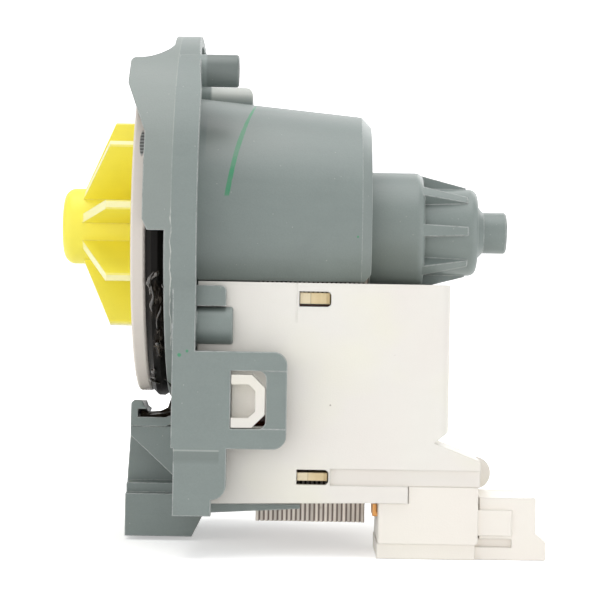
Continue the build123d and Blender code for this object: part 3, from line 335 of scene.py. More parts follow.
INK_STROKE = ((23.98, 14.17), (19.3, 12.46), (16.44, 11.53), (12.11, 10.74), (8.97, 9.81), (5.51, 9.44))
INK_DOTS = (((34.26, -22.6, -1.91), 0.28), ((1.6, -36.0, -24.41), 0.5), ((3.05, -36.0, -23.65), 0.33))
INK_WIDE_AT = 17 * MM
PARTING_AT = -0.25 * MM
RIM_REAR = (4.9 * MM, 5.3 * MM)
UPPER_BOSS = (0, -19 * MM, 29.4 * MM)
# Painted light behind the rim: the hood band as painted reflection, the hump painted paler, the upper boss
# painted darker as painted shadow.
HOOD_REFLECTION_AT = 17 * MM
# The apron's painted step: a pale line of painted highlight, with a darker band of painted shade below it.
APRON_LINE_AT = -41.8 * MM
HUMP_PAINTED_LIGHT = (0.62, 0.64, 0.6, 1)
BOSS_PAINTED_SHADOW = (0.07, 0.085, 0.078, 1)
HOOD_PAINTED_REFLECTION = (0.42, 0.42, 0.39, 1)
STEP_PAINTED_SHADE = (0.12, 0.14, 0.13, 1)
CREST_PAINTED_HIGHLIGHT = (0.55, 0.57, 0.54, 1)
# Painted light: the flange in front of the parting line is painted paler.
FRONT_PAINTED_LIGHT = (0.36, 0.38, 0.35, 1)
FLASH_TINT = (0.72, 0.72, 0.68, 1)
HOOK_DARK_TINT = (0.022, 0.014, 0.01, 1)


def product(made, *factors):
    """Several masks multiplied together."""
    result = factors[0]
    for factor in factors[1:]:
        result = made.math("MULTIPLY", result, factor)
    return result


def ink_marks(made, shown, axis):
    """A worker's ink stroke down the near side of the hood, and dots.

    The stroke's middle is x = a + b z + c z^2 + d z^3, and its half width grows from 0.17 mm at
    the top to 0.45 mm from the middle down.
    """
    ink = grown(bpy.context.scene.pump_colours.marker)
    heights, stations = np.array(INK_STROKE).T * MM
    curve = np.polyfit(heights, stations, 3)
    middle = made.math("MULTIPLY_ADD", axis[2], float(curve[0]), float(curve[1]))
    for part in curve[2:]:
        middle = made.math("MULTIPLY_ADD", middle, axis[2], float(part))
    wander = made.math("SUBTRACT", made.noise(made.place, 1.1 * MM, 3.0), 0.5)
    off = made.math("ABSOLUTE", made.math("SUBTRACT", axis[0], middle))
    off = made.math("MULTIPLY_ADD", wander, 0.22 * MM, off)
    half = made.remap(axis[2], heights[0], INK_WIDE_AT, 0.17 * MM, 0.45 * MM)
    stroke = product(
        made, made.remap(made.math("SUBTRACT", off, half), 0.05 * MM, -0.05 * MM),
        product(made, made.remap(axis[2], 5.2 * MM, 5.6 * MM), made.remap(axis[2], 24.3 * MM, 23.8 * MM),
                made.remap(axis[1], 0.0, -MM)))
    density = made.remap(made.noise(made.place, 2.0 * MM, 3.0), 0.3, 0.7, 0.62, 0.92)
    shown = made.mix(product(made, stroke, density), shown, ink)
    for place, radius in INK_DOTS:
        away = made.node("ShaderNodeVectorMath", {
            0: made.place, 1: tuple(part * MM for part in place)}, operation="DISTANCE")
        away = made.math("MULTIPLY_ADD", wander, 0.5 * MM, away.outputs["Value"])
        dot = made.remap(away, radius * MM, radius * 0.6 * MM)
        shown = made.mix(product(made, dot, 0.8), shown, ink)
    return shown


def parting_line(made, shown, axis):
    """The mould's parting line round the flange, with pale flash that sways below the ear, and the flange in
    front of the line painted paler as painted light.
    """
    flange = made.remap(axis[2], -33 * MM, -32 * MM)
    beside = made.math("SUBTRACT", axis[0], PARTING_AT)
    front = product(made, made.remap(beside, 0.05 * MM, -0.05 * MM), flange)
    # painted light: the flange in front of the parting line painted paler
    shown = made.mix(product(made, front, 0.22), shown, FRONT_PAINTED_LIGHT)
    sway = made.math("SUBTRACT", made.noise(made.place, 2.4 * MM, 3.0), 0.5)
    low = made.remap(axis[2], 2.6 * MM, 1.6 * MM)
    beside = made.math("MULTIPLY_ADD", product(made, sway, 0.9 * MM), low, beside)
    line = product(
        made, made.remap(made.math("ABSOLUTE", beside), 0.14 * MM, 0.05 * MM),
        made.remap(made.noise(made.place, 1.5 * MM, 2.0), 0.35, 0.6, 0.15, 0.6),
        made.math("MULTIPLY_ADD", low, 0.75, 0.25), flange)
    return made.mix(line, shown, FLASH_TINT)


def painted_light_tints(made, shown, axis):
    """Painted light behind the rim: the hump painted paler, the upper boss painted darker as painted shadow,
    and a pale band along the hood as painted reflection.
    """
    behind = made.remap(axis[0], *RIM_REAR)
    hump = product(made, made.remap(axis[2], 25 * MM, 27 * MM),
                   made.remap(axis[1], -8 * MM, -4 * MM), behind)
    # painted light: the hump painted paler
    shown = made.mix(product(made, hump, 0.97), shown, HUMP_PAINTED_LIGHT)
    away = made.node("ShaderNodeVectorMath", {0: made.place, 1: UPPER_BOSS}, operation="SUBTRACT")
    away = made.node("ShaderNodeVectorMath", {0: away.outputs[0], 1: (0, 1, 1)}, operation="MULTIPLY")
    away = made.node("ShaderNodeVectorMath", {0: away.outputs[0]}, operation="LENGTH")
    boss = product(made, made.remap(away.outputs["Value"], 6 * MM, 5 * MM), behind)
    # painted shadow: the upper boss painted darker
    shown = made.mix(product(made, boss, 0.5), shown, BOSS_PAINTED_SHADOW)
    band = made.math("ABSOLUTE", made.math("SUBTRACT", axis[2], HOOD_REFLECTION_AT))
    band = product(made, made.remap(band, 6 * MM, MM), made.remap(axis[0], 30 * MM, 3 * MM), behind)
    # painted reflection: a pale band painted along the hood
    return made.mix(product(made, band, 0.22), shown, HOOD_PAINTED_REFLECTION)


def apron_painted_step(made, shown, axis):
    """A painted step across the apron's near face: a pale line as painted highlight, with a darker band
    below it as painted shade.
    """
    face = product(made, made.remap(axis[1], -34 * MM, -35 * MM), made.remap(axis[0], 9.3 * MM, 9.0 * MM))
    below = made.math("SUBTRACT", axis[2], APRON_LINE_AT)
    under = product(made, made.remap(below, -0.1 * MM, -0.3 * MM),
                    made.remap(below, -2.6 * MM, -1.6 * MM), 0.35)
    # painted shade: the darker band below the step
    shown = made.mix(product(made, under, face), shown, STEP_PAINTED_SHADE)
    crest = made.remap(made.math("ABSOLUTE", below), 0.2 * MM, 0.06 * MM, 0.0, 0.38)
    # painted highlight: the pale line along the step
    return made.mix(product(made, crest, face), shown, CREST_PAINTED_HIGHLIGHT)


def hook_near_darkening(made, shown, axis):
    """The bottom hook's near-facing faces, darkened almost to black."""
    facing = made.node("ShaderNodeSeparateXYZ", {0: made.node("ShaderNodeTexCoord").outputs["Normal"]})
    hook_dark_mask = product(
        made, made.remap(axis[2], -33.8 * MM, -34.6 * MM), made.remap(axis[2], -39.2 * MM, -38.6 * MM),
        made.remap(axis[1], -9.9 * MM, -9.2 * MM), made.remap(axis[0], -7.95 * MM, -7.6 * MM),
        made.remap(axis[0], 0.5 * MM, 0.2 * MM), made.remap(facing.outputs[1], -0.9, -0.7))
    # darkens the hook's near-facing faces almost to black
    return made.mix(product(made, hook_dark_mask, 0.9), shown, HOOK_DARK_TINT)


def housing_marks(made, shown):
    """All the marks of the grey housing: the ink, the parting line, painted light and shade behind the rim
    and on the apron, and the hook's darkened near faces.
    """
    axis = made.node("ShaderNodeSeparateXYZ", {0: made.place}).outputs
    for mark in (ink_marks, parting_line, painted_light_tints, apron_painted_step, hook_near_darkening):
        shown = mark(made, shown, axis)
    return shown


def plate_scuff(made, shown):
    """A small dark ribbed scuff on the plate's rim, near side above the axis."""
    away = made.node("ShaderNodeVectorMath", {
        0: made.place, 1: (-6.3 * MM, -29.0 * MM, 14.7 * MM)}, operation="SUBTRACT").outputs[0]
    away = made.node("ShaderNodeVectorMath", {0: away, 1: (3.2, 0.55, 0.55)}, operation="MULTIPLY")
    away = made.node("ShaderNodeVectorMath", {0: away.outputs[0]}, operation="LENGTH")
    spot = made.math("MULTIPLY_ADD", made.noise(made.place, MM, 3.0), 0.5 * MM, away.outputs["Value"])
    spot = made.remap(spot, 1.9 * MM, 1.5 * MM)
    height = made.node("ShaderNodeSeparateXYZ", {0: made.place}).outputs[2]
    ribs = made.math("SINE", made.math("MULTIPLY", height, math.tau / (0.62 * MM)))
    tone = made.mix(made.remap(ribs, -0.3, 0.6), (0.1, 0.1, 0.1, 1), (0.3, 0.31, 0.3, 1))
    return made.mix(spot, shown, tone)


def blade_specks_and_painted_highlights(made, shown):
    """Painted highlight on the blades' outer faces, where the normal leaves the turning direction, and dark
    specks.
    """
    pale = grown(bpy.context.scene.pump_colours.blade_highlight_colour)
    facing = made.node("ShaderNodeTexCoord").outputs["Normal"]
    round_axis = made.node("ShaderNodeVectorMath", {0: (1, 0, 0), 1: made.place},
                           operation="CROSS_PRODUCT")
    along = made.node("ShaderNodeVectorMath", {0: round_axis.outputs[0]}, operation="NORMALIZE")
    turning = made.node("ShaderNodeVectorMath", {0: facing, 1: along.outputs[0]},
                        operation="DOT_PRODUCT").outputs["Value"]
    radius = made.node("ShaderNodeVectorMath", {0: round_axis.outputs[0]}, operation="LENGTH")
    thin = made.remap(made.math("ABSOLUTE", turning), 0.75, 0.5)
    outer = made.remap(radius.outputs["Value"], 7.7 * MM, 8.3 * MM)
    front = made.node("ShaderNodeSeparateXYZ", {0: made.place}).outputs[0]
    clear = made.remap(front, -8.9 * MM, -9.1 * MM)
    speck = made.math("MULTIPLY", speckles(made, made.place, 5 * MM, 0.04, 0.6), 0.7)
    shown = made.mix(speck, shown, (0.3, 0.16, 0.03, 1))
    # painted highlight: the blades' outer faces painted pale
    return made.mix(made.math("MULTIPLY", thin, made.math("MULTIPLY", outer, clear)), shown, pale)


GASKET_RADIUS = 33.5


def ring_place(made):
    """Object place as (x, radius, arc length), so that patterns follow the turned shape."""
    axis = made.node("ShaderNodeSeparateXYZ", {0: made.place}).outputs
    angle = made.math("ARCTAN2", axis[1], axis[2])
    radius = made.math("SQRT", made.math("ADD", made.math("MULTIPLY", axis[1], axis[1]),
                                         made.math("MULTIPLY", axis[2], axis[2])))
    arc = made.math("MULTIPLY", angle, GASKET_RADIUS * MM)
    return axis, made.node("ShaderNodeCombineXYZ", {0: axis[0], 1: radius, 2: arc}).outputs[0]


def rubber(name, colour, grease):
    """Moulded rubber with a bloom, moulding rings and wrinkled grease near its rear edge.

    The grease lies where slow noise passes a threshold, and its wrinkles are ridges 1 - |2n - 1|
    of a noise drawn out along the ring.
    """
    made = Finish(name)
    axis, ring = ring_place(made)
    skin = made.effect("moulded", Colour=grown(colour), Cloud=0.25, Speckle=0.08,
                       Grain_Size=0.2 * MM, Roughness=0.5, Dust=0.15)
    drawn = made.node("ShaderNodeMapping", {"Vector": ring, "Scale": (1.0, 1.0, 0.35)}).outputs[0]
    fold = made.noise(drawn, 1.5 * MM, 3.0, 0.5)
    fold = made.math("SUBTRACT", 1.0, made.math(
        "ABSOLUTE", made.math("MULTIPLY_ADD", fold, 2.0, -1.0)))
    fold = made.math("POWER", fold, 4.0)
    spread = made.remap(made.noise(drawn, 5.0 * MM, 2.0), 0.52, 0.58)
    spread = made.math("MULTIPLY", spread, made.remap(axis[0], -4.6 * MM, -3.4 * MM))
    spread = made.math("MULTIPLY", spread, grease)
    shown = made.mix(spread, skin["Colour"], grown(bpy.context.scene.pump_colours.grease))
    shown = made.mix(made.math("MULTIPLY", spread, made.remap(fold, 0.7, 0.97)), shown,
                     (0.12, 0.10, 0.08, 1))
    rough = made.remap(spread, 0.0, 1.0, 0.42, 0.12)
    height = made.math("MULTIPLY_ADD", made.math("MULTIPLY", fold, spread), 8.0, skin["Height"])
    return made.surface(shown, rough, height, 0.04 * MM, Specular_IOR_Level=0.1)


def turned_metal(name, colour, roughness, scratch=0.12, pores=0.0, metal=1.0):
    """Turned or ground metal: rings along the axis, stains, and pores where it is sintered."""
    made = Finish(name)
    axis, ring = ring_place(made)
    fine = made.node("ShaderNodeMapping", {"Vector": ring, "Scale": (1.0, 1.0, 0.02)}).outputs[0]
    lines = made.noise(fine, 0.06 * MM, 3.0, 0.6)
    stain = made.noise(made.place, 3.0 * MM, 3.0)
    tone = made.node("ShaderNodeHueSaturation", {
        "Color": grown(colour), "Value": made.remap(lines, 0.2, 0.8, 1 - scratch, 1 + scratch)})
    shown = made.mix(made.remap(stain, 0.5, 0.8, 0.0, 0.35), tone.outputs["Color"],
                     grown(tuple(part * 0.6 for part in colour)))
    pit = speckles(made, made.place, 0.35 * MM, 0.3, 0.5)
    shown = made.mix(made.math("MULTIPLY", pit, pores), shown,
                     grown(tuple(part * 0.3 for part in colour)))
    rough = made.remap(lines, 0.2, 0.8, roughness - 0.08, roughness + 0.12)
    height = made.math("SUBTRACT", lines, made.math("MULTIPLY", pit, pores * 2))
    return made.surface(shown, rough, height, 0.01 * MM, Metallic=metal)


CORE_FRONT = 15.7 * MM
CORE_LENGTH = 20.8 * MM
SHEETS = 24
SHEET_SHARE = 0.82


def core_sheets(name, colour, gap):
    """Punched sheets: bright burnished bands with dark gaps, each sheet a little different.

    The pitch is length / (sheets - 1 + share), and the place within a pitch is
    fract((x - front) / pitch). The band is bright where that is under the share.
    """
    made = Finish(name)
    axis = made.node("ShaderNodeSeparateXYZ", {0: made.place}).outputs
    pitch = CORE_LENGTH / (SHEETS - 1 + SHEET_SHARE)
    count = made.math("DIVIDE", made.math("SUBTRACT", axis[0], CORE_FRONT - 0.02 * MM), pitch)
    within = made.math("FRACT", count)
    sheet = made.node("ShaderNodeTexWhiteNoise", {"W": made.math("FLOOR", count)},
                      noise_dimensions="1D").outputs["Value"]
    drawn = made.node("ShaderNodeMapping", {"Vector": made.place, "Scale": (1.0, 0.12, 0.12)})
    burr = made.noise(drawn.outputs[0], 0.5 * MM, 4.0, 0.7)
    value = made.math("MULTIPLY", made.remap(sheet, 0.0, 1.0, 0.8, 1.12),
                      made.remap(burr, 0.25, 0.75, 0.72, 1.15))
    tone = made.node("ShaderNodeHueSaturation", {"Color": grown(colour), "Value": value})
    band = made.math("MULTIPLY", made.remap(within, 0.0, 0.1), made.remap(within, 0.72, 0.56))
    end = made.node("ShaderNodeSeparateXYZ", {0: made.node("ShaderNodeTexCoord").outputs["Normal"]})
    end = made.remap(made.math("ABSOLUTE", end.outputs[0]), 0.6, 0.9)
    band = made.math("MAXIMUM", band, end)
    shown = made.mix(band, grown(gap), tone.outputs["Color"])
    rust = made.remap(made.noise(made.place, 2.4 * MM, 4.0, 0.7), 0.6, 0.75, 0.0, 0.4)
    shown = made.mix(rust, shown, (0.16, 0.09, 0.05, 1))
    return made.surface(shown, made.remap(burr, 0.2, 0.8, 0.35, 0.6), burr, 0.02 * MM, Metallic=0.35)


def wound_wire(name, colour):
    """Enamelled wire laid turn on turn: rounds along Z, each turn with its own tone, and painted shade in
    the valleys between turns.

    A turn's height is sqrt(1 - (2 f - 1)^2), with f the place within the wire's pitch of 0.24 mm.
    """
    made = Finish(name)
    axis = made.node("ShaderNodeSeparateXYZ", {0: made.place}).outputs
    sway = made.math("MULTIPLY_ADD", made.noise(made.place, 6 * MM, 1.0), 0.12 * MM, axis[2])
    count = made.math("DIVIDE", sway, 0.24 * MM)
    within = made.math("MULTIPLY_ADD", made.math("FRACT", count), 2.0, -1.0)
    height = made.math("SQRT", made.math("SUBTRACT", 1.0, made.math("MULTIPLY", within, within)))
    turn = made.node("ShaderNodeTexWhiteNoise", {"W": made.math("FLOOR", count)},
                     noise_dimensions="1D").outputs["Value"]
    tone = made.node("ShaderNodeHueSaturation", {
        "Color": grown(colour), "Value": made.remap(turn, 0.0, 1.0, 0.75, 1.2)})
    # painted shade: the valleys between turns darkened almost to black
    shown = made.mix(made.remap(height, 0.55, 0.1), tone.outputs["Color"], (0.05, 0.015, 0.008, 1))
    return made.surface(shown, 0.28, height, 0.1 * MM, Metallic=0.55, Coat_Weight=0.4)


def mould_streaks(made, shown):
    """Pale flow marks of a cream plastic, a few per centimetre, along Z, then paler and darker bands and a
    seam line across x.
    """
    drawn = made.node("ShaderNodeMapping", {"Vector": made.place, "Scale": (1.0, 1.0, 0.1)})
    flow = made.remap(made.noise(drawn.outputs[0], 1.2 * MM, 3.0), 0.45, 0.7, 0.0, 0.35)
    shown = made.mix(flow, shown, (0.86, 0.74, 0.5, 1))
    station = made.node("ShaderNodeSeparateXYZ", {0: made.place}).outputs[0]
    # Paler before x = 25.5 mm, darker brown past 28.4 mm, and a darker seam line at x = 25.5 mm.
    shown = made.mix(made.remap(station, 25.6 * MM, 25.4 * MM, 0.0, 0.45), shown, (0.9, 0.84, 0.68, 1))
    shown = made.mix(made.remap(station, 28.3 * MM, 28.5 * MM, 0.0, 0.5), shown, (0.5, 0.36, 0.16, 1))
    seam = made.math("ABSOLUTE", made.math("SUBTRACT", station, 25.5 * MM))
    return made.mix(made.remap(seam, 0.12 * MM, 0.04 * MM, 0.0, 0.5), shown, (0.35, 0.26, 0.13, 1))


def cover_clouds_and_shadow(made, shown):
    """Broad faint clouds of warm and rosy white, a few dark specks in the plastic, and a painted shadow
    darkening the cover towards the flange.
    """
    warm = made.remap(made.noise(made.place, 26 * MM, 2.0), 0.4, 0.65, 0.0, 0.5)
    shown = made.mix(warm, shown, grown(linear(238, 230, 224)))
    lime = made.remap(made.noise(made.place, 17 * MM, 2.0), 0.5, 0.7, 0.0, 0.5)
    shown = made.mix(lime, shown, grown(linear(240, 238, 220)))
    speck = made.math("MULTIPLY", speckles(made, made.place, 6 * MM, 0.035, 0.55), 0.6)
    station = made.node("ShaderNodeSeparateXYZ", {0: made.place}).outputs[0]
    # painted shadow: the cover darker from x = 22 mm towards the flange at 5 mm
    shown = made.mix(made.remap(station, 22 * MM, 5 * MM, 0.0, 0.3), shown, grown(linear(196, 190, 184)))
    return made.mix(speck, shown, (0.25, 0.2, 0.16, 1))


def tinned_blade(made, shown):
    """Copper-coloured tails where the winding's ends are wrapped and dipped."""
    station = made.node("ShaderNodeSeparateXYZ", {0: made.place}).outputs[0]
    dipped = made.remap(made.math("MULTIPLY_ADD", made.noise(made.place, MM), 0.6 * MM, station),
                        39.4 * MM, 38.9 * MM)
    return made.mix(dipped, shown, grown(linear(206, 150, 92)))


def give(material, *names):
    """Put a material on every slot of the named nodes, with smooth faces kept as they are."""
    for name in names:
        slots = NODES[name].data.materials
        slots.clear()
        slots.append(material)


def grease_finish(colour):
    """Wet grease: dark, glossy and rippled."""
    made = Finish("Grease")
    ripple = made.noise(made.place, 0.5 * MM, 2.0)
    shown = made.mix(made.remap(ripple, 0.4, 0.7), grown(colour), grown(linear(64, 54, 42)))
    return made.surface(shown, made.remap(ripple, 0.3, 0.7, 0.06, 0.22), ripple, 0.05 * MM,
                        Coat_Weight=1.0)


def grease_strings():
    """Strings of grease that lie on the gasket: tubes round wandering paths on a ring.

    With t from 0 to 1 along a string, the path is x = x0 + b t + sum of a_k sin(k pi t + p_k) and
    angle = a0 + c t, on a radius of 33.5 mm plus 0.4 of the tube's own. The tube's radius is
    r0 (0.25 + sin(pi t)) (1 + 0.35 sin(9 t + p)), and its section is a circle across the path.
    """
    chance = np.random.default_rng(11)
    count, steps, sides = 11, 28, 8
    along = np.linspace(0, 1, steps)
    around = np.linspace(0, math.tau, sides, endpoint=False)
    first = chance.choice((107.0, 127.0, 147.0), count, p=(0.2, 0.4, 0.4))
    first = np.radians(first + chance.uniform(-3, 9, count))
    sweep = np.radians(chance.uniform(-11, 13, count))
    start, slant = chance.uniform(-4.4, -2.2, count), chance.uniform(-1.3, 1.6, count)
    wave = chance.uniform(0.05, 0.45, (count, 3)) / (1, 2, 3)
    phase = chance.uniform(0, math.tau, (count, 4))
    thick = chance.uniform(0.16, 0.36, count)
    points = np.empty((count, steps, sides, 3))
    for index in range(count):
        ripples = np.arange(1, 4)[:, None] * math.pi * along + phase[index, :3, None]
        station = start[index] + slant[index] * along + wave[index] @ np.sin(ripples)
        station = np.clip(station, -5.0, -1.2)
        angle = first[index] + sweep[index] * along
        size = thick[index] * (0.25 + np.sin(math.pi * along))
        size = size * (1 + 0.35 * np.sin(9 * along + phase[index, 3]))
        radius = GASKET_RADIUS + 0.4 * size
        spine = np.stack([station, -radius * np.sin(angle), radius * np.cos(angle)], axis=1)
        run = np.gradient(spine, axis=0)
        run /= np.linalg.norm(run, axis=1)[:, None]
        out = np.stack([np.zeros(steps), -np.sin(angle), np.cos(angle)], axis=1)
        side = np.cross(run, out)
        side /= np.linalg.norm(side, axis=1)[:, None]
        out = np.cross(side, run)
        ring = (np.cos(around)[None, :, None] * side[:, None] + np.sin(around)[None, :, None] * out[:, None])
        points[index] = spine[:, None] + size[:, None, None] * ring
    return tube_mesh("grease_strings", points * MM)


GROOVE_GREASE = ((-7.6, 38.4), (-7.6, 36.95), (-5.6, 37.2), (-3.4, 37.0), (-2.0, 36.3), (-1.4, 34.3),
                 (-0.4, 33.8), (-0.4, 37.5), (-2.4, 38.3))


def groove_grease():
    """Grease left in the bottom hook: one section of x and radius turned from 168 to 187 degrees.

    The section is drawn in by a share of 1 - 0.12 sin(3 a)^2 towards its own middle, a being the
    angle in radians, so that the ends are uneven.
    """
    section = np.array(GROOVE_GREASE)
    angle = np.radians(np.linspace(168.0, 187.0, 20))
    middle = section.mean(axis=0)
    shrink = 1 - 0.12 * np.sin(3 * angle)[:, None, None] ** 2
    ring = middle + (section - middle) * shrink
    points = np.stack([ring[..., 0], -ring[..., 1] * np.sin(angle)[:, None],
                       ring[..., 1] * np.cos(angle)[:, None]], axis=-1)
    return tube_mesh("hook_grease", points[None] * MM)


class PUMP_OT_housing(bpy.types.Operator):
    """Dress the grey housing"""

    bl_idname = "pump.housing"
    bl_label = "Housing"

    def execute(self, context):
        tone = context.scene.pump_colours
        give(plastic("Housing plastic", tone.housing, 0.4, 0.1, 0.07, fade=1.0, edge=0.4 * MM,
                     dirt_and_shade=(0.4, 0.38, 0.35), dust=0.3, paint=housing_marks), "motor_housing")
        return {"FINISHED"}


class PUMP_OT_wet_end(bpy.types.Operator):
    """Dress the impeller, the back plate and the gasket"""

    bl_idname = "pump.wet_end"
    bl_label = "Wet end"

    def execute(self, context):
        tone = context.scene.pump_colours
        give(plastic("Impeller plastic", tone.impeller, 0.45, 0.05, 0.02, fade=0.5, edge=0.3 * MM,
                     dirt_and_shade=(0.72, 0.7, 0.5), paint=blade_specks_and_painted_highlights), "impeller", "hub_retainer")
        give(plastic("Back plate plastic", tone.back_plate, 0.42, 0.05, 0.02, fade=0.6, shade=0.15,
                     dust=0.2, paint=plate_scuff), "back_plate")
        give(rubber("Gasket rubber", tone.rubber, 1.0), "volute_gasket")
        give(rubber("Inner rubber", tone.rubber, 0.0), "back_plate_sealing_ring",
             "front_bearing_mount", "rear_bearing_mount", "coupling_bumpers")
        return {"FINISHED"}


class PUMP_OT_grease(bpy.types.Operator):
    """Lay dark grease on the gasket and in the bottom hook"""

    bl_idname = "pump.grease"
    bl_label = "Grease"

    def execute(self, context):
        finish = grease_finish(context.scene.pump_colours.grease)
        for piece in (grease_strings(), groove_grease()):
            piece.data.materials.append(finish)
            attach(piece, "pump_body")
        return {"FINISHED"}


class PUMP_OT_rotor(bpy.types.Operator):
    """Dress the shaft, the magnet, the bushes and the coupling"""

    bl_idname = "pump.rotor"
    bl_label = "Rotor"

    def execute(self, context):
        tone = context.scene.pump_colours
        give(turned_metal("Ferrite", tone.ferrite, 0.55, 0.08, 0.7, 0.1), "rotor_magnet")
        give(turned_metal("Shaft steel", tone.steel, 0.25), "rotor_shaft", "front_thrust_washer",
             "rear_thrust_washer", "core_rivets")
        give(turned_metal("Bush", tone.graphite, 0.5, 0.06, 0.8, 0.3), "front_bearing", "rear_bearing")
        give(plastic("Rotor plastic", tone.rotor_plastic, 0.5, 0.1, 0.08, dust=0.3),
             "rotor_hub", "coupling_dog")
        return {"FINISHED"}


class PUMP_OT_stator(bpy.types.Operator):
    """Dress the core, the bobbins and the windings"""

    bl_idname = "pump.stator"
    bl_label = "Stator"

    def execute(self, context):
        tone = context.scene.pump_colours
        give(core_sheets("Core sheets", tone.core, tone.core_gap), "stator_core")
        give(plastic("Bobbin plastic", tone.bobbin, 0.42, paint=mould_streaks),
             "bobbin_near", "bobbin_far")
        give(wound_wire("Enamelled wire", tone.copper), "winding_near", "winding_far")
        give(plastic("Fuse ceramic", tone.ceramic, 0.35, 0.1, 0.1, grain=0.12 * MM, dust=0.3),
             "thermal_fuse")
        return {"FINISHED"}


class PUMP_OT_cover(bpy.types.Operator):
    """Dress the coil cover and the connector"""

    bl_idname = "pump.cover"
    bl_label = "Cover and connector"

    def execute(self, context):
        tone = context.scene.pump_colours
        give(plastic("Cover plastic", tone.cover, 0.42, 0.02, 0.01, fade=0.4, shade=0.1,
                     paint=cover_clouds_and_shadow), "coil_cover")
        give(plastic("Connector plastic", tone.connector, 0.4, 0.02, 0.01, fade=0.4, shade=0.05,
                     paint=cover_clouds_and_shadow), "connector_housing")
        give(plastic("Tinned terminal", tone.tin, 0.3, 0.12, 0.04, fade=0.5, paint=tinned_blade,
                     Metallic=0.9), "terminal_near", "terminal_far")
        return {"FINISHED"}


# Stage


def grid_mesh(name, points):
    """A quad surface through an array of points of shape (rows, columns, 3)."""
    rows, columns, _ = points.shape
    u, v = np.meshgrid(np.arange(rows - 1), np.arange(columns - 1), indexing="ij")
    first = (u * columns + v).ravel()
    faces = np.stack([first, first + columns, first + columns + 1, first + 1], axis=1)
    mesh = bpy.data.meshes.new(name)
    mesh.from_pydata(points.reshape(-1, 3).tolist(), [], faces.tolist())
    mesh.polygons.foreach_set("use_smooth", np.ones(len(faces), bool))
    made = bpy.data.objects.new(name, mesh)
    bpy.context.scene.collection.objects.link(made)
    return made


def tube_mesh(name, points):
    """Tubes with closed ends through points of shape (tubes, steps, sides, 3)."""
    tubes, steps, sides, _ = points.shape
    tube, step, side = np.meshgrid(np.arange(tubes), np.arange(steps - 1), np.arange(sides),
                                   indexing="ij")
    base = (tube * steps + step) * sides
    after = (side + 1) % sides
    walls = np.stack([base + side, base + after, base + sides + after, base + sides + side], axis=-1)
    ends = np.arange(tubes)[:, None] * steps * sides + np.arange(sides)
    caps = np.concatenate([ends[:, ::-1], ends + (steps - 1) * sides])
    mesh = bpy.data.meshes.new(name)
    mesh.from_pydata(points.reshape(-1, 3).tolist(), [], walls.reshape(-1, 4).tolist() + caps.tolist())
    mesh.polygons.foreach_set("use_smooth", np.ones(len(mesh.polygons), bool))
    made = bpy.data.objects.new(name, mesh)
    bpy.context.scene.collection.objects.link(made)
    return made


def backdrop():
    """A floor that sweeps up into a wall: straight, then a quarter circle, then straight."""
    low = cad_box[0].z - 0.05 * MM
    half, depth, bend, height = 2.5, 1.2, 0.5, 2.2
    turn = np.linspace(0, math.pi / 2, 24)
    back = np.concatenate([[-2.5], depth + bend * np.sin(turn), [depth + bend]])
    rise = np.concatenate([[0.0], bend - bend * np.cos(turn), [height]])
    across = np.linspace(-half, half, 3)
    points = np.empty((3, len(back), 3))
    points[..., 0] = across[:, None]
    points[..., 1] = back[None, :]
    points[..., 2] = low + rise[None, :]
    return grid_mesh("backdrop", points)


def seen_rays(graph):
    """One for camera, glossy and transmission rays, and zero for the rays that light."""
    path = graph.node("ShaderNodeLightPath").outputs
    seen = graph.math("MAXIMUM", path["Is Camera Ray"], path["Is Glossy Ray"])
    return graph.math("MAXIMUM", seen, path["Is Transmission Ray"])


def soft_lamp(name, place, aim, size, watts):
    """A square area lamp that faces a point."""
    lamp = bpy.data.lights.new(name, "AREA")
    lamp.shape = "SQUARE"
    lamp.size = size
    lamp.energy = watts * bpy.context.scene.pump_stage.lamp
    made = bpy.data.objects.new(name, lamp)
    bpy.context.scene.collection.objects.link(made)
    made.location = place
    away = np.array(aim) - np.array(place)
    made.rotation_euler = Vector(away).to_track_quat("-Z", "Y").to_euler()
    return made


LAMPS_AIM = (0.02, 0.0, -0.01)
LAMPS = (  # name, place in metres, side in metres, watts
    ("top_lamp", (0.0, -0.1, 0.8), 0.8, 4.8),
    ("front_lamp", (-0.35, -0.9, 0.25), 0.9, 2.3),
    ("left_lamp", (-0.7, -0.35, 0.05), 0.5, 1.4),
    ("side_lamp", (0.6, -0.3, 0.1), 0.5, 1.2),
    ("back_lamp", (0.4, 0.6, 0.5), 0.6, 1.6),
)
CAMERA_ACROSS = 23.5 * MM
CAMERA_HEIGHT = -14 * MM


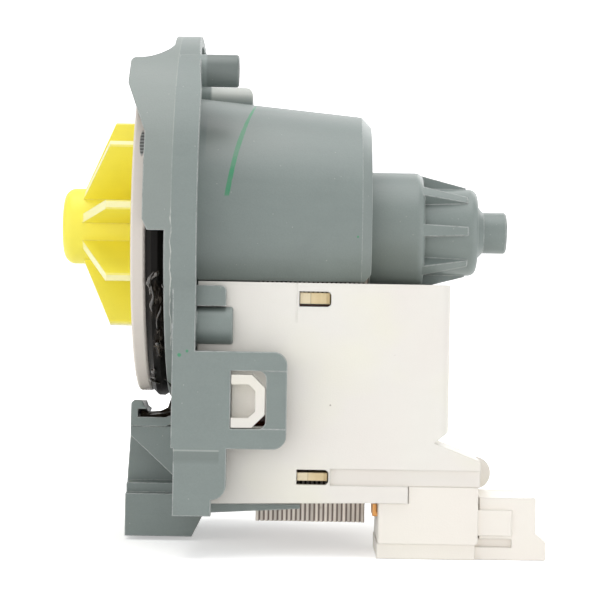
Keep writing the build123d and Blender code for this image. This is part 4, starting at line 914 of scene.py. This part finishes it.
class PUMP_OT_stage(bpy.types.Operator):
    """Set the floor, the soft light and the camera"""

    bl_idname = "pump.stage"
    bl_label = "Photo stage"

    def execute(self, context):
        scene = context.scene
        setting = scene.pump_stage
        floor = backdrop()
        paint = Finish("Backdrop paper")
        grain = paint.noise(paint.place, 40 * MM, 3.0)
        paint.surface(paint.mix(paint.math("MULTIPLY", grain, 0.05), grown(linear(250, 250, 250)),
                                grown(linear(240, 240, 240))), 0.9, Specular_IOR_Level=0.1)
        seen = seen_rays(paint)
        paint.feed(paint.shader.inputs["Emission Color"], (1, 1, 1, 1))
        away = paint.node("ShaderNodeVectorMath", {
            0: paint.place, 1: (20 * MM, 0, cad_box[0].z)}, operation="DISTANCE").outputs["Value"]
        glow = paint.remap(away, 90 * MM, 330 * MM, setting.floor_glow, 1.0)
        paint.feed(paint.shader.inputs["Emission Strength"], paint.math("MULTIPLY", seen, glow))
        floor.data.materials.append(paint.material)

        world = bpy.data.worlds.new("Studio")
        scene.world = world
        world.use_nodes = True
        world.node_tree.nodes.clear()
        sky = Graph(world.node_tree)
        seen = seen_rays(sky)
        level = sky.math("MULTIPLY_ADD", seen, 1 - setting.sky, setting.sky)
        back = sky.node("ShaderNodeBackground", {"Color": (1, 1, 1, 1), "Strength": level})
        sky.node("ShaderNodeOutputWorld", {"Surface": back.outputs[0]})

        for name, place, size, watts in LAMPS:
            soft_lamp(name, place, LAMPS_AIM, size, watts)

        lens = bpy.data.cameras.new("Camera")
        lens.sensor_width = 36.0
        lens.lens = setting.lens
        camera = bpy.data.objects.new("Camera", lens)
        scene.collection.objects.link(camera)
        camera.location = (CAMERA_ACROSS, -setting.distance, CAMERA_HEIGHT)
        upright = Euler((math.pi / 2, 0, 0)).to_matrix()
        camera.rotation_euler = (upright @ Euler((0, 0, setting.roll)).to_matrix()).to_euler()
        scene.camera = camera
        scene.view_settings.view_transform = "Standard"
        return {"FINISHED"}


STEPS = (PUMP_OT_housing, PUMP_OT_wet_end, PUMP_OT_grease, PUMP_OT_rotor, PUMP_OT_stator, PUMP_OT_cover,
         PUMP_OT_stage)
SETTINGS = (PumpColours, PumpWear, PumpStage)


class PUMP_PT_sidebar(bpy.types.Panel):
    """The pump's settings and steps"""

    bl_idname = "PUMP_PT_sidebar"
    bl_label = "Washer Drain Pump"
    bl_space_type = "VIEW_3D"
    bl_region_type = "UI"
    bl_category = "Drain Pump"

    def draw(self, context):
        for group in (context.scene.pump_colours, context.scene.pump_wear, context.scene.pump_stage):
            for key in group.bl_rna.properties.keys():
                if key not in {"rna_type", "name"}:
                    self.layout.prop(group, key)
        for step in STEPS:
            self.layout.operator(step.bl_idname)


def register():
    """Register the settings, the steps and the panel."""
    for made in (*SETTINGS, *STEPS, PUMP_PT_sidebar):
        bpy.utils.register_class(made)
    bpy.types.Scene.pump_colours = PointerProperty(type=PumpColours)
    bpy.types.Scene.pump_wear = PointerProperty(type=PumpWear)
    bpy.types.Scene.pump_stage = PointerProperty(type=PumpStage)


def unregister():
    """Remove what register added."""
    for key in ("pump_colours", "pump_wear", "pump_stage"):
        delattr(bpy.types.Scene, key)
    for made in reversed((*SETTINGS, *STEPS, PUMP_PT_sidebar)):
        bpy.utils.unregister_class(made)


def main():
    """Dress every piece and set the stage."""
    register()
    bpy.ops.pump.housing()
    bpy.ops.pump.wet_end()
    bpy.ops.pump.grease()
    bpy.ops.pump.rotor()
    bpy.ops.pump.stator()
    bpy.ops.pump.cover()
    bpy.ops.pump.stage()


if __name__ == "__main__":
    main()
